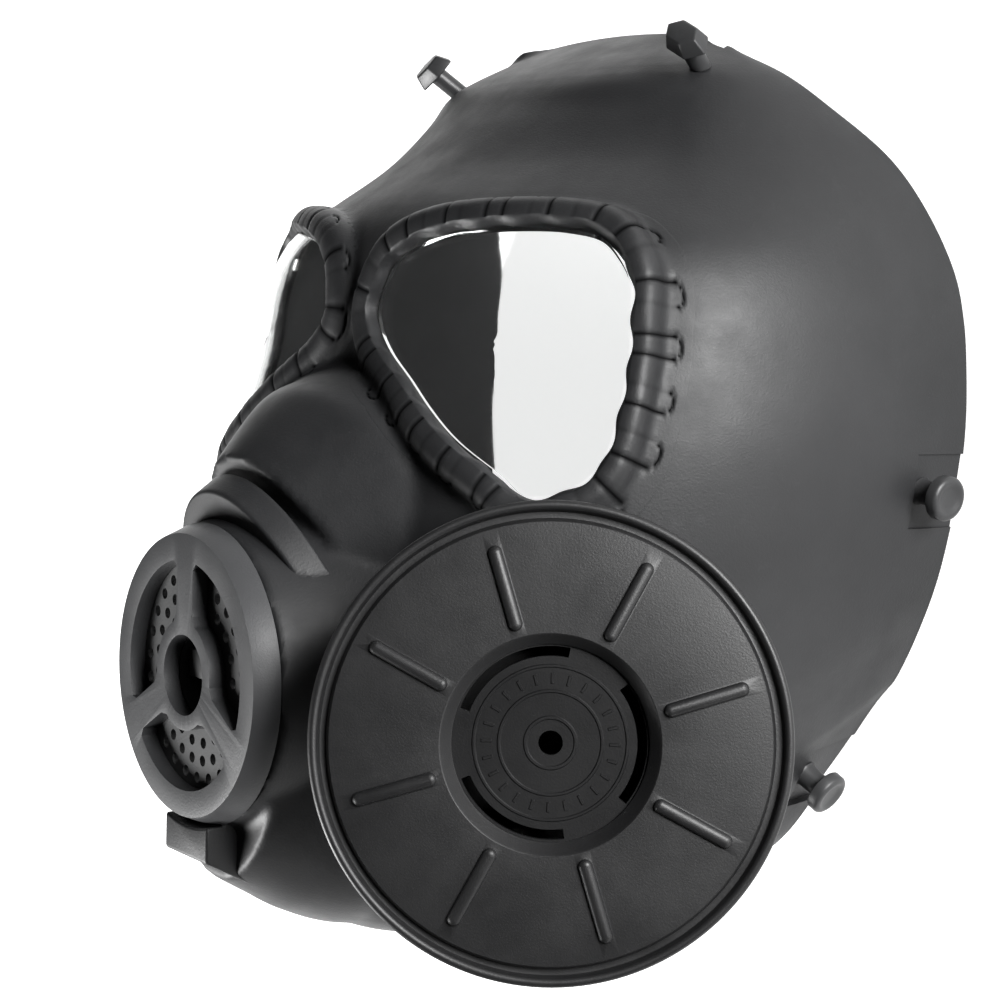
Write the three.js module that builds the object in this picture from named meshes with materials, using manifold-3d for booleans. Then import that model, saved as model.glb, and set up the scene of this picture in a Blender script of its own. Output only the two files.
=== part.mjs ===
// A full-face costume mask in the style of a gas mask: a hollow moulded face shell with two
// curved lenses, a grille cap on the snout, one round canister on the left cheek and six strap
// posts. Millimetres. The face is modelled upright: +X is the wearer's left, +Y the back of the
// head and +Z the crown, from the centre of the snout's front face. At the end the mask is laid
// on its rim, face up.
import * as THREE from 'three';
import { mergeVertices } from 'three/addons/utils/BufferGeometryUtils.js';
import Module from 'manifold-3d';

const wasm = await Module();
wasm.setup();

// Overall sizes
const faceDepth = 151; // snout front to the rim at the temples
const halfWidth = 96; // at the temples
const crownUp = 155.5; // snout axis to the top of the rim
const chinDown = 65.5; // snout axis to the chin
const wall = 2.4;
const gap = 0.3; // between pieces that touch
const sliver = 0.02; // vertices closer than this are one

// Grille cap on the snout
const capRadius = 32.5;
const capBack = 5.7;
const capFlare = 2.3;
const faceThick = 3.9;
const skirtWall = 4.6;
const windowOuter = 26.5;
const windowInner = 12.7;
const spokeWidth = 7.5;
const spokeCount = 3;
const centreHole = 9.3;
const plateThick = 1.5;
const plateHole = 1.3;
const plateRows = 3;
const plateRowStep = 4.1;
const plateHoleStep = 5.5;
const plateMargin = 1.9; // from a window's edge to the middle of a hole

// Snout
const mouthRadius = 26;
const stepOneFront = capBack + gap;
const stepTwoFront = 11.5;
const chinFront = 9.5;
const outletHalf = 10;
const outletFront = 1.5;
const outletDrop = 9.5; // below the cap's edge
const outletSlope = 8.5;
const outletBack = 18;

// Canister
const canRadius = 50;
const canOutward = 52.5; // degrees from straight ahead to the canister's axis
const canUpward = 5.2; // degrees
const canStandOff = 30.8; // cheek to the canister's front
const canSpot = { across: 0.484, along: 0.3405 }; // where its axis leaves the cheek
const canSide = 12;
const canBack = 23.5;
const backChamfer = 3.5;
const canWall = 2;
const faceRise = 2.2;
const faceEdge = 45.9;
const rollWidth = 2.1;
const rollHeight = 0.2;
const grooveDepth = 1.6;
const grooveDraft = 0.4;
const hubOuter = 22.8;
const hubInner = 20.4;
const hubDepth = 2;
const hubLip = 0.6;
const hubPocket = 24.4;
const hubThick = 1.6;
const slotInner = 17.9;
const slotOuter = 19.9;
const hubHole = 2.5;
const ribCount = 8;
const ribStart = 24.2;
const ribEnd = 42.2;
const ribWidth = 3;
const ribHeight = 1.5;
const ribSlope = 0.7; // how far a rib's top is drawn in
const ribTurn = -18;
const neckRadius = 19;
const neckLength = 8;
const portWall = 4.5;
const portDepth = 20;

// Lens frames
const lensThick = 2;
const lensSink = 1.8;
const lensPlay = 0.5;
const beadWidth = 9;
const beadHeight = 4.2;

// Strap posts
const stemRadius = 2.8;
const buttonRadius = 5.2;
const buttonThick = 3.2;
const buttonRound = 1;
const postLength = 9;
const seatHigh = 17.5;
const seatDeep = 1;
const studStem = 2.4;
const studLength = 12;
const studHead = 4.6;
const studLong = 7.4;
const studDeep = 4;
const studTaper = 0.72;

const COLOURS = { shell: 0x2b2c2f, grille: 0x303134, canister: 0x26272a, post: 0x242527, lens: 0xdfe6e8 };

// One U-shaped section per row, from the middle of the face round to the rim. Shares of faceDepth
// (back), of crownUp (up, chinDown where it is negative) and of halfWidth (out). square is the
// exponent of the section's superellipse.
const FACE_ROWS = [
  { frontBack: 0.742, frontUp: -0.977, rimOut: 0.500, rimBack: 0.821, rimUp: -0.797, square: 2.0 },
  { frontBack: 0.556, frontUp: -1.000, rimOut: 0.625, rimBack: 0.887, rimUp: -0.602, square: 2.0 },
  { frontBack: 0.377, frontUp: -0.992, rimOut: 0.708, rimBack: 0.947, rimUp: -0.301, square: 2.1 },
  { frontBack: 0.265, frontUp: -0.932, rimOut: 0.792, rimBack: 0.980, rimUp: -0.060, square: 2.2 },
  { frontBack: 0.199, frontUp: -0.752, rimOut: 0.865, rimBack: 1.000, rimUp: 0.064, square: 2.3 },
  { frontBack: 0.179, frontUp: -0.451, rimOut: 0.927, rimBack: 1.000, rimUp: 0.154, square: 2.5 },
  { frontBack: 0.179, frontUp: 0.000, rimOut: 0.964, rimBack: 1.000, rimUp: 0.238, square: 2.6 },
  { frontBack: 0.205, frontUp: 0.193, rimOut: 0.990, rimBack: 1.000, rimUp: 0.322, square: 2.8 },
  { frontBack: 0.245, frontUp: 0.354, rimOut: 1.000, rimBack: 1.000, rimUp: 0.399, square: 3.0 },
  { frontBack: 0.285, frontUp: 0.489, rimOut: 0.995, rimBack: 1.000, rimUp: 0.476, square: 3.0 },
  { frontBack: 0.298, frontUp: 0.579, rimOut: 0.979, rimBack: 1.000, rimUp: 0.553, square: 3.0 },
  { frontBack: 0.315, frontUp: 0.650, rimOut: 0.948, rimBack: 0.993, rimUp: 0.630, square: 2.8 },
  { frontBack: 0.358, frontUp: 0.707, rimOut: 0.896, rimBack: 0.960, rimUp: 0.720, square: 2.3 },
  { frontBack: 0.457, frontUp: 0.781, rimOut: 0.823, rimBack: 0.921, rimUp: 0.797, square: 2.0 },
  { frontBack: 0.543, frontUp: 0.859, rimOut: 0.708, rimBack: 0.868, rimUp: 0.868, square: 2.0 },
  { frontBack: 0.616, frontUp: 0.923, rimOut: 0.604, rimBack: 0.828, rimUp: 0.920, square: 2.25 },
  { frontBack: 0.775, frontUp: 1.000, rimOut: 0.479, rimBack: 0.791, rimUp: 0.958, square: 2.0 },
];

// Rings of the snout's four forms: how far back their top lies as a share of faceDepth, half-heights
// and half-width as shares of capRadius, and lean, how far a ring runs back for each millimetre down.
const TUBE_RINGS = [
  { back: stepOneFront / faceDepth, up: 1.07, down: 1.07, out: 1.07, lean: 0 },
  { back: 0.08, up: 1.12, down: 1.12, out: 1.12, lean: 0 },
  { back: 0.133, up: 1.2, down: 1.2, out: 1.2, lean: 0 },
  { back: 0.2, up: 1.33, down: 1.36, out: 1.36, lean: 0 },
  { back: 0.3, up: 1.5, down: 1.6, out: 1.62, lean: 0 },
];
const CHIN_RINGS = [
  { back: chinFront / faceDepth, up: 0.9, down: 1.48, out: 0.93, lean: 0 },
  { back: 0.119, up: 1, down: 1.63, out: 1.1, lean: 0 },
  { back: 0.172, up: 1.1, down: 1.77, out: 1.3, lean: 0 },
  { back: 0.252, up: 1.2, down: 1.9, out: 1.6, lean: 0 },
  { back: 0.37, up: 1.3, down: 1.93, out: 1.8, lean: 0 },
];
const COLLAR_RINGS = [
  { back: stepOneFront / faceDepth, up: 1.292, down: 0.9, out: 1.02, lean: 0.44 },
  { back: (stepTwoFront + gap) / faceDepth, up: 1.42, down: 1, out: 1.1, lean: 0.44 },
];
const RIDGE_RINGS = [
  { back: stepTwoFront / faceDepth, up: 1.538, down: 1, out: 1.08, lean: 0.62 },
  { back: 0.113, up: 1.723, down: 1, out: 1.3, lean: 0.57 },
  { back: 0.156, up: 1.923, down: 1, out: 1.54, lean: 0.52 },
  { back: 0.187, up: 2.034, down: 1, out: 1.68, lean: 0.48 },
  { back: 0.225, up: 2.1, down: 1, out: 1.78, lean: 0.44 },
  { back: 0.275, up: 2.2, down: 1, out: 1.9, lean: 0.4 },
  { back: 0.33, up: 2.25, down: 1, out: 1.95, lean: 0.4 },
];

// Lens outline in the front view: sideways as a share of halfWidth, up as a share of crownUp.
const LENS_OUTLINE = [
  { out: 0.098, up: 0.545 },
  { out: 0.114, up: 0.585 },
  { out: 0.15, up: 0.62 },
  { out: 0.222, up: 0.644 },
  { out: 0.31, up: 0.658 },
  { out: 0.42, up: 0.666 },
  { out: 0.52, up: 0.669 },
  { out: 0.605, up: 0.667 },
  { out: 0.685, up: 0.655 },
  { out: 0.745, up: 0.622 },
  { out: 0.778, up: 0.583 },
  { out: 0.79, up: 0.53 },
  { out: 0.797, up: 0.47 },
  { out: 0.802, up: 0.41 },
  { out: 0.796, up: 0.353 },
  { out: 0.768, up: 0.315 },
  { out: 0.715, up: 0.293 },
  { out: 0.66, up: 0.291 },
  { out: 0.605, up: 0.318 },
  { out: 0.479, up: 0.362 },
  { out: 0.381, up: 0.401 },
  { out: 0.285, up: 0.441 },
  { out: 0.183, up: 0.479 },
  { out: 0.122, up: 0.512 },
];

// Section of the bead round a lens, from the opening outwards: shares of beadWidth and beadHeight.
const BEAD_SECTION = [
  { out: -0.1, up: 0.5 },
  { out: 0.14, up: 0.85 },
  { out: 0.4, up: 1 },
  { out: 0.7, up: 0.84 },
  { out: 1, up: 0 },
];

// Strap posts on each side: where they stand, as shares of the way along the face rows and of
// the way from the middle of the face to the rim, and how far they tip towards the snout.
const POSTS = [
  { name: 'strap_post_top', along: 0.94, across: 0.63, tip: 0.65, studded: true },
  { name: 'strap_post_upper', along: 0.432, across: 0.975, tip: 0, studded: false },
  { name: 'strap_post_lower', along: 0.137, across: 0.92, tip: 0, studded: false },
];

// Slots in the canister's hub, in degrees clockwise from its top.
const HUB_SLOTS = [{ from: 289, to: 370 }, { from: 51, to: 127 }, { from: 170, to: 246 }];

// Numbers of flat steps round the shapes
const acrossSteps = 20;
const alongSteps = 18;
const ringSteps = 28;
const lensSteps = 28;
const canSteps = 36;
const capSteps = 48;
const postSteps = 12;

function heightOf(share) {
  return share < 0 ? share * chinDown : share * crownUp;
}

// Smooth curve through the rows' values at a place from 0 (first row) to 1 (last row).
function rowValue(rows, key, place) {
  const spot = Math.min(Math.max(place, 0), 1) * (rows.length - 1);
  const i = Math.min(Math.floor(spot), rows.length - 2);
  const t = spot - i;
  const p1 = rows[i][key];
  const p2 = rows[i + 1][key];
  const p0 = i > 0 ? rows[i - 1][key] : 2 * p1 - p2;
  const p3 = i + 2 < rows.length ? rows[i + 2][key] : 2 * p2 - p1;
  const slope1 = (p2 - p0) / 2;
  const slope2 = (p3 - p1) / 2;
  return (2 * t ** 3 - 3 * t * t + 1) * p1 + (t ** 3 - 2 * t * t + t) * slope1
    + (3 * t * t - 2 * t ** 3) * p2 + (t ** 3 - t * t) * slope2;
}

// Outer surface of the face. across runs from -1 (right rim) to 1 (left rim).
function facePoint(across, along) {
  const square = rowValue(FACE_ROWS, 'square', along);
  const angle = Math.abs(across) * Math.PI / 2;
  const side = Math.sin(angle) ** (2 / square);
  const front = Math.max(Math.cos(angle), 0) ** (2 / square);
  const out = rowValue(FACE_ROWS, 'rimOut', along) * halfWidth;
  const frontBack = rowValue(FACE_ROWS, 'frontBack', along) * faceDepth;
  const rimBack = rowValue(FACE_ROWS, 'rimBack', along) * faceDepth;
  const frontUp = heightOf(rowValue(FACE_ROWS, 'frontUp', along));
  const rimUp = heightOf(rowValue(FACE_ROWS, 'rimUp', along));
  return new THREE.Vector3(
    Math.sign(across) * side * out,
    rimBack + (frontBack - rimBack) * front,
    rimUp + (frontUp - rimUp) * front,
  );
}

function faceNormal(across, along) {
  const step = 0.004;
  const acrossEdge = facePoint(Math.min(across + step, 1), along)
    .sub(facePoint(Math.max(across - step, -1), along));
  const alongEdge = facePoint(across, Math.min(along + step, 1))
    .sub(facePoint(across, Math.max(along - step, 0)));
  return acrossEdge.cross(alongEdge).normalize();
}

// Place on the outer surface that lies at the given x and z in the front view.
function faceAt(x, z) {
  const turnOf = (along) => {
    const out = rowValue(FACE_ROWS, 'rimOut', along) * halfWidth;
    const side = Math.min(Math.abs(x) / out, 1) ** (rowValue(FACE_ROWS, 'square', along) / 2);
    return Math.sign(x) * Math.asin(side) / (Math.PI / 2);
  };
  const halvings = 40;
  let low = 0.2;
  let high = 0.85;
  for (let round = 0; round < halvings; round += 1) {
    const along = (low + high) / 2;
    if (facePoint(turnOf(along), along).z < z) low = along;
    else high = along;
  }
  const across = turnOf(low);
  return { point: facePoint(across, low), normal: faceNormal(across, low) };
}

// Closed body through rings of points, its two ends closed by fans.
function loft(rings) {
  const count = rings[0].length;
  const vertices = rings.flat().flatMap((p) => [p.x, p.y, p.z]);
  const triangles = [];
  rings.slice(1).forEach((ring, i) => {
    for (let j = 0; j < count; j += 1) {
      const a = i * count + j;
      const b = i * count + ((j + 1) % count);
      triangles.push(a, b, a + count, b, b + count, a + count);
    }
  });
  [0, rings.length - 1].forEach((i) => {
    const hub = vertices.length / 3;
    const middle = rings[i].reduce((sum, p) => sum.add(p), new THREE.Vector3()).divideScalar(count);
    vertices.push(middle.x, middle.y, middle.z);
    for (let j = 0; j < count; j += 1) {
      const a = i * count + j;
      const b = i * count + ((j + 1) % count);
      if (i === 0) triangles.push(b, a, hub);
      else triangles.push(a, b, hub);
    }
  });
  return bodyOf(vertices, triangles);
}

// Closed body of a section that runs round a closed path, without ends.
function hoop(sections) {
  const count = sections[0].length;
  const vertices = sections.flat().flatMap((p) => [p.x, p.y, p.z]);
  const triangles = [];
  sections.forEach((section, i) => {
    const next = (i + 1) % sections.length;
    for (let j = 0; j < count; j += 1) {
      const k = (j + 1) % count;
      triangles.push(i * count + j, i * count + k, next * count + j);
      triangles.push(i * count + k, next * count + k, next * count + j);
    }
  });
  return bodyOf(vertices, triangles);
}

function bodyOf(vertices, triangles) {
  const geometry = new THREE.BufferGeometry();
  geometry.setAttribute('position', new THREE.Float32BufferAttribute(vertices, 3));
  geometry.setIndex(triangles);
  return solid(geometry);
}

// Boolean solid of a closed geometry, turned inside out if its faces point inwards.
function solid(geometry) {
  const bare = geometry.clone();
  bare.deleteAttribute('normal');
  bare.deleteAttribute('uv');
  const merged = mergeVertices(bare);
  const vertProperties = new Float32Array(merged.attributes.position.array);
  const triVerts = new Uint32Array(merged.index.array);
  if (volumeOf(vertProperties, triVerts) < 0) {
    for (let i = 0; i < triVerts.length; i += 3) {
      [triVerts[i], triVerts[i + 1]] = [triVerts[i + 1], triVerts[i]];
    }
  }
  return new wasm.Manifold(new wasm.Mesh({ numProp: 3, vertProperties, triVerts }));
}

// Six times the volume that the triangles close, negative where they face inwards.
function volumeOf(vertices, triangles) {
  const corner = (i) => new THREE.Vector3().fromArray(vertices, triangles[i] * 3);
  let sum = 0;
  for (let i = 0; i < triangles.length; i += 3) {
    sum += corner(i).dot(corner(i + 1).cross(corner(i + 2)));
  }
  return sum;
}

// Geometry of a solid, with the slivers that cuts leave drawn together.
function geometryOf(body) {
  const mesh = body.getMesh();
  const raw = new THREE.BufferGeometry();
  raw.setAttribute('position', new THREE.BufferAttribute(Float32Array.from(mesh.vertProperties), 3));
  raw.setIndex(new THREE.BufferAttribute(Uint32Array.from(mesh.triVerts), 1));
  const geometry = mergeVertices(raw, sliver);
  const corners = geometry.index.array;
  const kept = [];
  for (let i = 0; i < corners.length; i += 3) {
    const [a, b, c] = corners.slice(i, i + 3);
    if (a !== b && b !== c && c !== a) kept.push(a, b, c);
  }
  geometry.setIndex(kept);
  geometry.computeVertexNormals();
  return geometry;
}

// Matrix that carries a piece's own +Z to the axis and its origin to the place.
function poseOf(place, axis, sideways = new THREE.Vector3(0, 0, 1)) {
  const x = sideways.clone().cross(axis).normalize();
  const y = axis.clone().cross(x);
  return new THREE.Matrix4().makeBasis(x, y, axis).setPosition(place);
}

function placed(geometry, pose) {
  return solid(geometry.clone().applyMatrix4(pose));
}

// Round solid from a profile of radius and height, turned about the piece's own +Z.
function turned(profile, steps = ringSteps) {
  const points = profile.map(([radius, height]) => new THREE.Vector2(radius, height));
  return new THREE.LatheGeometry(points, steps).rotateX(Math.PI / 2);
}

function cylinder(radius, low, high, steps = ringSteps) {
  return turned([[0, low], [radius, low], [radius, high], [0, high]], steps);
}

// Face shell

function faceGrid(inset) {
  const rows = [];
  for (let i = 0; i <= alongSteps; i += 1) {
    const row = [];
    for (let j = 0; j <= acrossSteps; j += 1) {
      const across = 2 * j / acrossSteps - 1;
      const along = i / alongSteps;
      row.push(facePoint(across, along).addScaledVector(faceNormal(across, along), -inset));
    }
    rows.push(row);
  }
  return rows;
}

// Space inside the face, run on past the rim so that the shell stays open there.
function faceHollow() {
  const overrun = 8 * wall;
  const rows = faceGrid(wall);
  const runOn = (from, to) => from.map((p, j) => {
    const away = p.clone().sub(to[j]).normalize();
    return p.clone().addScaledVector(away, overrun);
  });
  rows.unshift(runOn(rows[0], rows[1]));
  rows.push(runOn(rows[rows.length - 1], rows[rows.length - 2]));
  const back = new THREE.Vector3(0, overrun, 0);
  return loft(rows.map((row) => [row[0].clone().add(back), ...row, row[row.length - 1].clone().add(back)]));
}

// Ring of a snout form at a place of its table, drawn in by an inset and set back by the same.
function snoutRing(rows, place, inset) {
  const size = (key) => rowValue(rows, key, place) * capRadius - inset;
  const back = rowValue(rows, 'back', place) * faceDepth + inset;
  const lean = rowValue(rows, 'lean', place);
  const ring = [];
  for (let i = 0; i < ringSteps; i += 1) {
    const angle = 2 * Math.PI * i / ringSteps;
    const up = Math.sin(angle) * (Math.sin(angle) > 0 ? size('up') : size('down'));
    ring.push(new THREE.Vector3(Math.cos(angle) * size('out'), back + lean * (size('up') - up), up));
  }
  return ring;
}

function snoutForm(rows, inset) {
  return loft(rows.map((row, i) => snoutRing(rows, i / (rows.length - 1), inset)));
}

function snoutHollow() {
  const mouth = placed(cylinder(mouthRadius, -2 * stepTwoFront, 0), snoutPose);
  return [TUBE_RINGS, CHIN_RINGS, RIDGE_RINGS].reduce((sum, rows) => sum.add(snoutForm(rows, wall)), mouth);
}

// Square block under the cap that the outlet valve of a real mask would sit in.
function outletBlock() {
  const top = -capRadius + outletDrop;
  const bottom = -capRadius - outletDrop;
  const shape = new THREE.Shape();
  shape.moveTo(outletFront, top);
  shape.lineTo(outletFront, bottom);
  shape.lineTo(outletBack, bottom - outletSlope);
  shape.lineTo(outletBack, top);
  const geometry = new THREE.ExtrudeGeometry(shape, { depth: 2 * outletHalf, bevelEnabled: false });
  const pose = new THREE.Matrix4().makeBasis(
    new THREE.Vector3(0, 1, 0), new THREE.Vector3(0, 0, 1), new THREE.Vector3(1, 0, 0),
  ).setPosition(-outletHalf, 0, 0);
  const capSpace = placed(cylinder(capRadius + capFlare + gap, -stepOneFront, capBack, capSteps), snoutPose);
  return placed(geometry, pose).subtract(capSpace);
}

// Lens openings

function lensCurve(side) {
  const points = LENS_OUTLINE.map(({ out, up }) => new THREE.Vector3(side * out * halfWidth, 0, up * crownUp));
  const curve = new THREE.CatmullRomCurve3(points, true, 'centripetal');
  return curve.getSpacedPoints(lensSteps).slice(0, lensSteps);
}

// Places round the lens on the face, each with its outward and normal directions.
function lensFrames(side) {
  const spots = lensCurve(side).map((p) => faceAt(p.x, p.z));
  return spots.map((spot, i) => {
    const next = spots[(i + 1) % lensSteps].point;
    const last = spots[(i + lensSteps - 1) % lensSteps].point;
    const along = next.clone().sub(last).normalize();
    const outward = along.clone().cross(spot.normal).normalize().multiplyScalar(-side);
    return { ...spot, outward };
  });
}

// Sheet that follows the face inside the lens outline, between two heights over the face.
function lensSheet(side, grow, high, low) {
  const frames = lensFrames(side);
  const centre = frames.reduce((sum, f) => sum.add(f.point), new THREE.Vector3()).divideScalar(lensSteps);
  const edge = frames.map((f) => f.point.clone().addScaledVector(f.outward, grow));
  const ringAt = (share, height) => edge.map((p) => {
    const flat = centre.clone().lerp(p, share);
    const spot = faceAt(flat.x, flat.z);
    return spot.point.addScaledVector(spot.normal, height);
  });
  const shares = [0.1, 0.55];
  const top = shares.map((share) => ringAt(share, high));
  const bottom = shares.map((share) => ringAt(share, low)).reverse();
  const rim = (height) => edge.map((p, i) => p.clone().addScaledVector(frames[i].normal, height));
  return loft([...top, rim(high), rim(low), ...bottom]);
}

function lensBead(side) {
  const section = BEAD_SECTION.map(({ out, up }) => [out * beadWidth, up * beadHeight]);
  section.unshift([section[0][0], -wall]);
  section.push([beadWidth, -wall]);
  return hoop(lensFrames(side).map((f) => section.map(([out, up]) => f.point.clone()
    .addScaledVector(f.outward, out)
    .addScaledVector(f.normal, up))));
}

// Strap posts

function postSpot(post, side) {
  const across = side * post.across;
  const point = facePoint(across, post.along);
  const normal = faceNormal(across, post.along);
  const axis = normal.clone().add(new THREE.Vector3(0, -post.tip, 0)).normalize();
  return { point, normal, axis };
}

// Flat recess from the post's stem back past the rim.
function postSeat(post, side) {
  const { point, normal } = postSpot(post, side);
  const front = stemRadius + gap;
  const long = faceDepth / 4;
  const box = new THREE.BoxGeometry(seatHigh, long, long).translate(0, long / 2 - front, long / 2 - seatDeep);
  return placed(box, poseOf(point, normal, new THREE.Vector3(0, 1, 0)));
}

// Round post with a button on top, standing in its seat.
function buttonGeometry() {
  const foot = gap - seatDeep;
  const top = foot + postLength;
  return turned([
    [0, foot], [stemRadius, foot], [stemRadius, top - buttonThick], [buttonRadius, top - buttonThick],
    [buttonRadius, top - buttonRound], [buttonRadius - buttonRound, top], [0, top],
  ], postSteps);
}

// Post with a faceted head, longest across the face, and a foot cut to the face that it stands on.
function studGeometry(pose) {
  const stem = solid(cylinder(studStem, -studLength, studLength - studDeep / 2, postSteps));
  const head = new THREE.CylinderGeometry(studHead * studTaper, studHead, studDeep, 6)
    .rotateY(Math.PI / 6).rotateX(Math.PI / 2).scale(studLong / studHead, 1, 1)
    .translate(0, 0, studLength - studDeep / 2);
  const face = placed(geometryOf(loft(faceGrid(-gap))), pose.clone().invert());
  return geometryOf(stem.add(solid(head)).subtract(face));
}

// Grille

function arcPoints(radius, from, to) {
  const steps = 8;
  const points = [];
  for (let i = 0; i <= steps; i += 1) {
    const angle = from + (to - from) * i / steps;
    points.push(new THREE.Vector2(radius * Math.cos(angle), radius * Math.sin(angle)));
  }
  return points;
}

// Window between two spokes, its straight sides along them.
function windowShape() {
  const low = (radius) => Math.PI / 2 + Math.asin(spokeWidth / 2 / radius);
  const high = (radius) => Math.PI / 2 + 2 * Math.PI / spokeCount - Math.asin(spokeWidth / 2 / radius);
  return new THREE.Shape([
    ...arcPoints(windowOuter, low(windowOuter), high(windowOuter)),
    ...arcPoints(windowInner, high(windowInner), low(windowInner)),
  ]);
}

function grilleCap() {
  const back = -capBack;
  const backRadius = capRadius + capFlare;
  let cap = solid(turned([
    [0, 0], [capRadius, 0], [backRadius, back], [backRadius - skirtWall, back],
    [backRadius - skirtWall, -faceThick], [0, -faceThick],
  ], capSteps));
  for (let i = 0; i < spokeCount; i += 1) {
    const cut = new THREE.ExtrudeGeometry(windowShape(), { depth: 3 * faceThick, bevelEnabled: false });
    cap = cap.subtract(solid(cut.rotateZ(2 * Math.PI * i / spokeCount).translate(0, 0, -2 * faceThick)));
  }
  return cap.subtract(solid(cylinder(centreHole, -2 * faceThick, faceThick)));
}

// Places of the plate's holes behind one window, every other row half a step on.
function plateSpots() {
  const spots = [];
  for (let row = 0; row < plateRows; row += 1) {
    const radius = windowInner + plateMargin + plateHole + row * plateRowStep;
    const spread = 2 * Math.PI / spokeCount - 2 * Math.asin((spokeWidth / 2 + plateMargin) / radius);
    const count = Math.max(1, Math.round(spread * radius / plateHoleStep));
    for (let k = 0; k < count; k += 1) {
      const angle = Math.PI / 2 + Math.PI / spokeCount + spread * ((k + 0.5) / count - 0.5);
      spots.push(new THREE.Vector2(radius * Math.cos(angle), radius * Math.sin(angle)));
    }
  }
  return spots;
}

function grillePlate() {
  const top = -faceThick - gap;
  const radius = capRadius + capFlare - skirtWall - gap;
  let plate = solid(cylinder(radius, top - plateThick, top, capSteps))
    .subtract(solid(cylinder(centreHole, top - 2 * plateThick, top + plateThick)));
  for (let i = 0; i < spokeCount; i += 1) {
    plateSpots().forEach((spot) => {
      const hole = cylinder(plateHole, top - 2 * plateThick, top + plateThick, 6)
        .translate(spot.x, spot.y, 0).rotateZ(2 * Math.PI * i / spokeCount);
      plate = plate.subtract(solid(hole));
    });
  }
  return plate;
}

// Canister

function canisterBody() {
  const grooveOuter = canRadius - rollWidth;
  const innerRadius = canRadius - canWall;
  const backEdge = neckRadius + portWall;
  const profile = [
    [hubOuter, faceRise], [faceEdge, 0], [faceEdge + grooveDraft, -grooveDepth],
    [grooveOuter - grooveDraft, -grooveDepth], [grooveOuter, 0], [canRadius - rollWidth / 2, rollHeight],
    [canRadius, -rollWidth / 2], [canRadius, -canSide], [canRadius - backChamfer, -canSide - backChamfer],
    [backEdge, -canBack], [neckRadius, -canBack], [neckRadius, -canBack - neckLength],
    [neckRadius - canWall, -canBack - neckLength], [neckRadius - canWall, -canBack + canWall],
    [backEdge, -canBack + canWall], [innerRadius - backChamfer, -canSide - backChamfer + canWall / 2],
    [innerRadius, -canSide + canWall / 2], [innerRadius, -grooveDepth - canWall],
    [faceEdge - canWall / 2, -grooveDepth - canWall], [faceEdge - canWall, -canWall], [hubPocket, faceRise - canWall],
    [hubPocket, -hubDepth], [hubInner, -hubDepth], [hubInner, -hubDepth + hubLip], [hubOuter, faceRise],
  ];
  let body = solid(turned(profile, canSteps));
  for (let i = 0; i < ribCount; i += 1) {
    body = body.add(solid(ribGeometry(ribTurn + 360 * i / ribCount)));
  }
  return body;
}

// Raised rounded rib that lies along the cone of the canister's face.
function ribGeometry(turn) {
  const root = canWall / 2;
  const shape = new THREE.Shape();
  const half = ribWidth / 2;
  shape.absarc(0, ribEnd - half, half, 0, Math.PI, false);
  shape.absarc(0, ribStart + half, half, Math.PI, 2 * Math.PI, false);
  const slope = Math.atan2(faceRise, faceEdge - hubOuter);
  return new THREE.ExtrudeGeometry(shape, {
    depth: root, curveSegments: 2, bevelEnabled: true, bevelThickness: ribHeight,
    bevelSize: ribSlope, bevelOffset: -ribSlope, bevelSegments: 1,
  }).translate(0, 0, -root).rotateX(-slope).translate(0, 0, faceEdge * Math.tan(slope))
    .rotateZ(-THREE.MathUtils.degToRad(turn));
}

// Ring sector with square ends, turned clockwise from up.
function ringSector(inner, outer, from, to, low, high) {
  const start = Math.PI / 2 - THREE.MathUtils.degToRad(to);
  const end = Math.PI / 2 - THREE.MathUtils.degToRad(from);
  const shape = new THREE.Shape([...arcPoints(outer, start, end), ...arcPoints(inner, end, start)]);
  return new THREE.ExtrudeGeometry(shape, { depth: high - low, bevelEnabled: false }).translate(0, 0, low);
}

function canisterHub() {
  const top = -hubDepth - gap;
  let hub = solid(cylinder(hubPocket - gap, top - hubThick, top, canSteps));
  HUB_SLOTS.forEach(({ from, to }) => {
    hub = hub.subtract(solid(ringSector(slotInner, slotOuter, from, to, top - 2 * hubThick, top + hubThick)));
  });
  return hub.subtract(solid(cylinder(hubHole, top - 2 * hubThick, top + hubThick, postSteps)));
}

// Assembly

const outward = THREE.MathUtils.degToRad(canOutward);
const upward = THREE.MathUtils.degToRad(canUpward);
const canAxis = new THREE.Vector3(
  Math.sin(outward) * Math.cos(upward), -Math.cos(outward) * Math.cos(upward), Math.sin(upward),
);
const canCentre = facePoint(canSpot.across, canSpot.along).addScaledVector(canAxis, canStandOff);
const canPose = poseOf(canCentre, canAxis);
const snoutPose = new THREE.Matrix4().makeBasis(
  new THREE.Vector3(1, 0, 0), new THREE.Vector3(0, 0, 1), new THREE.Vector3(0, -1, 0),
);

function maskShell() {
  const port = cylinder(neckRadius + gap + portWall, -canBack - portDepth, -canBack - gap);
  const bore = cylinder(neckRadius + gap, -canBack - 2 * portDepth, -canBack + gap);
  let shell = loft(faceGrid(0))
    .add(snoutForm(TUBE_RINGS, 0))
    .add(snoutForm(CHIN_RINGS, 0))
    .add(snoutForm(COLLAR_RINGS, 0))
    .add(snoutForm(RIDGE_RINGS, 0))
    .add(outletBlock())
    .add(placed(port, canPose))
    .add(lensBead(1))
    .add(lensBead(-1));
  shell = shell.subtract(faceHollow()).subtract(snoutHollow()).subtract(placed(bore, canPose));
  [1, -1].forEach((side) => {
    shell = shell.subtract(lensSheet(side, 0, 3 * wall, -2 * wall));
    POSTS.filter((post) => !post.studded).forEach((post) => {
      shell = shell.subtract(postSeat(post, side));
    });
  });
  return shell;
}

const mask = new THREE.Group();

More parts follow.
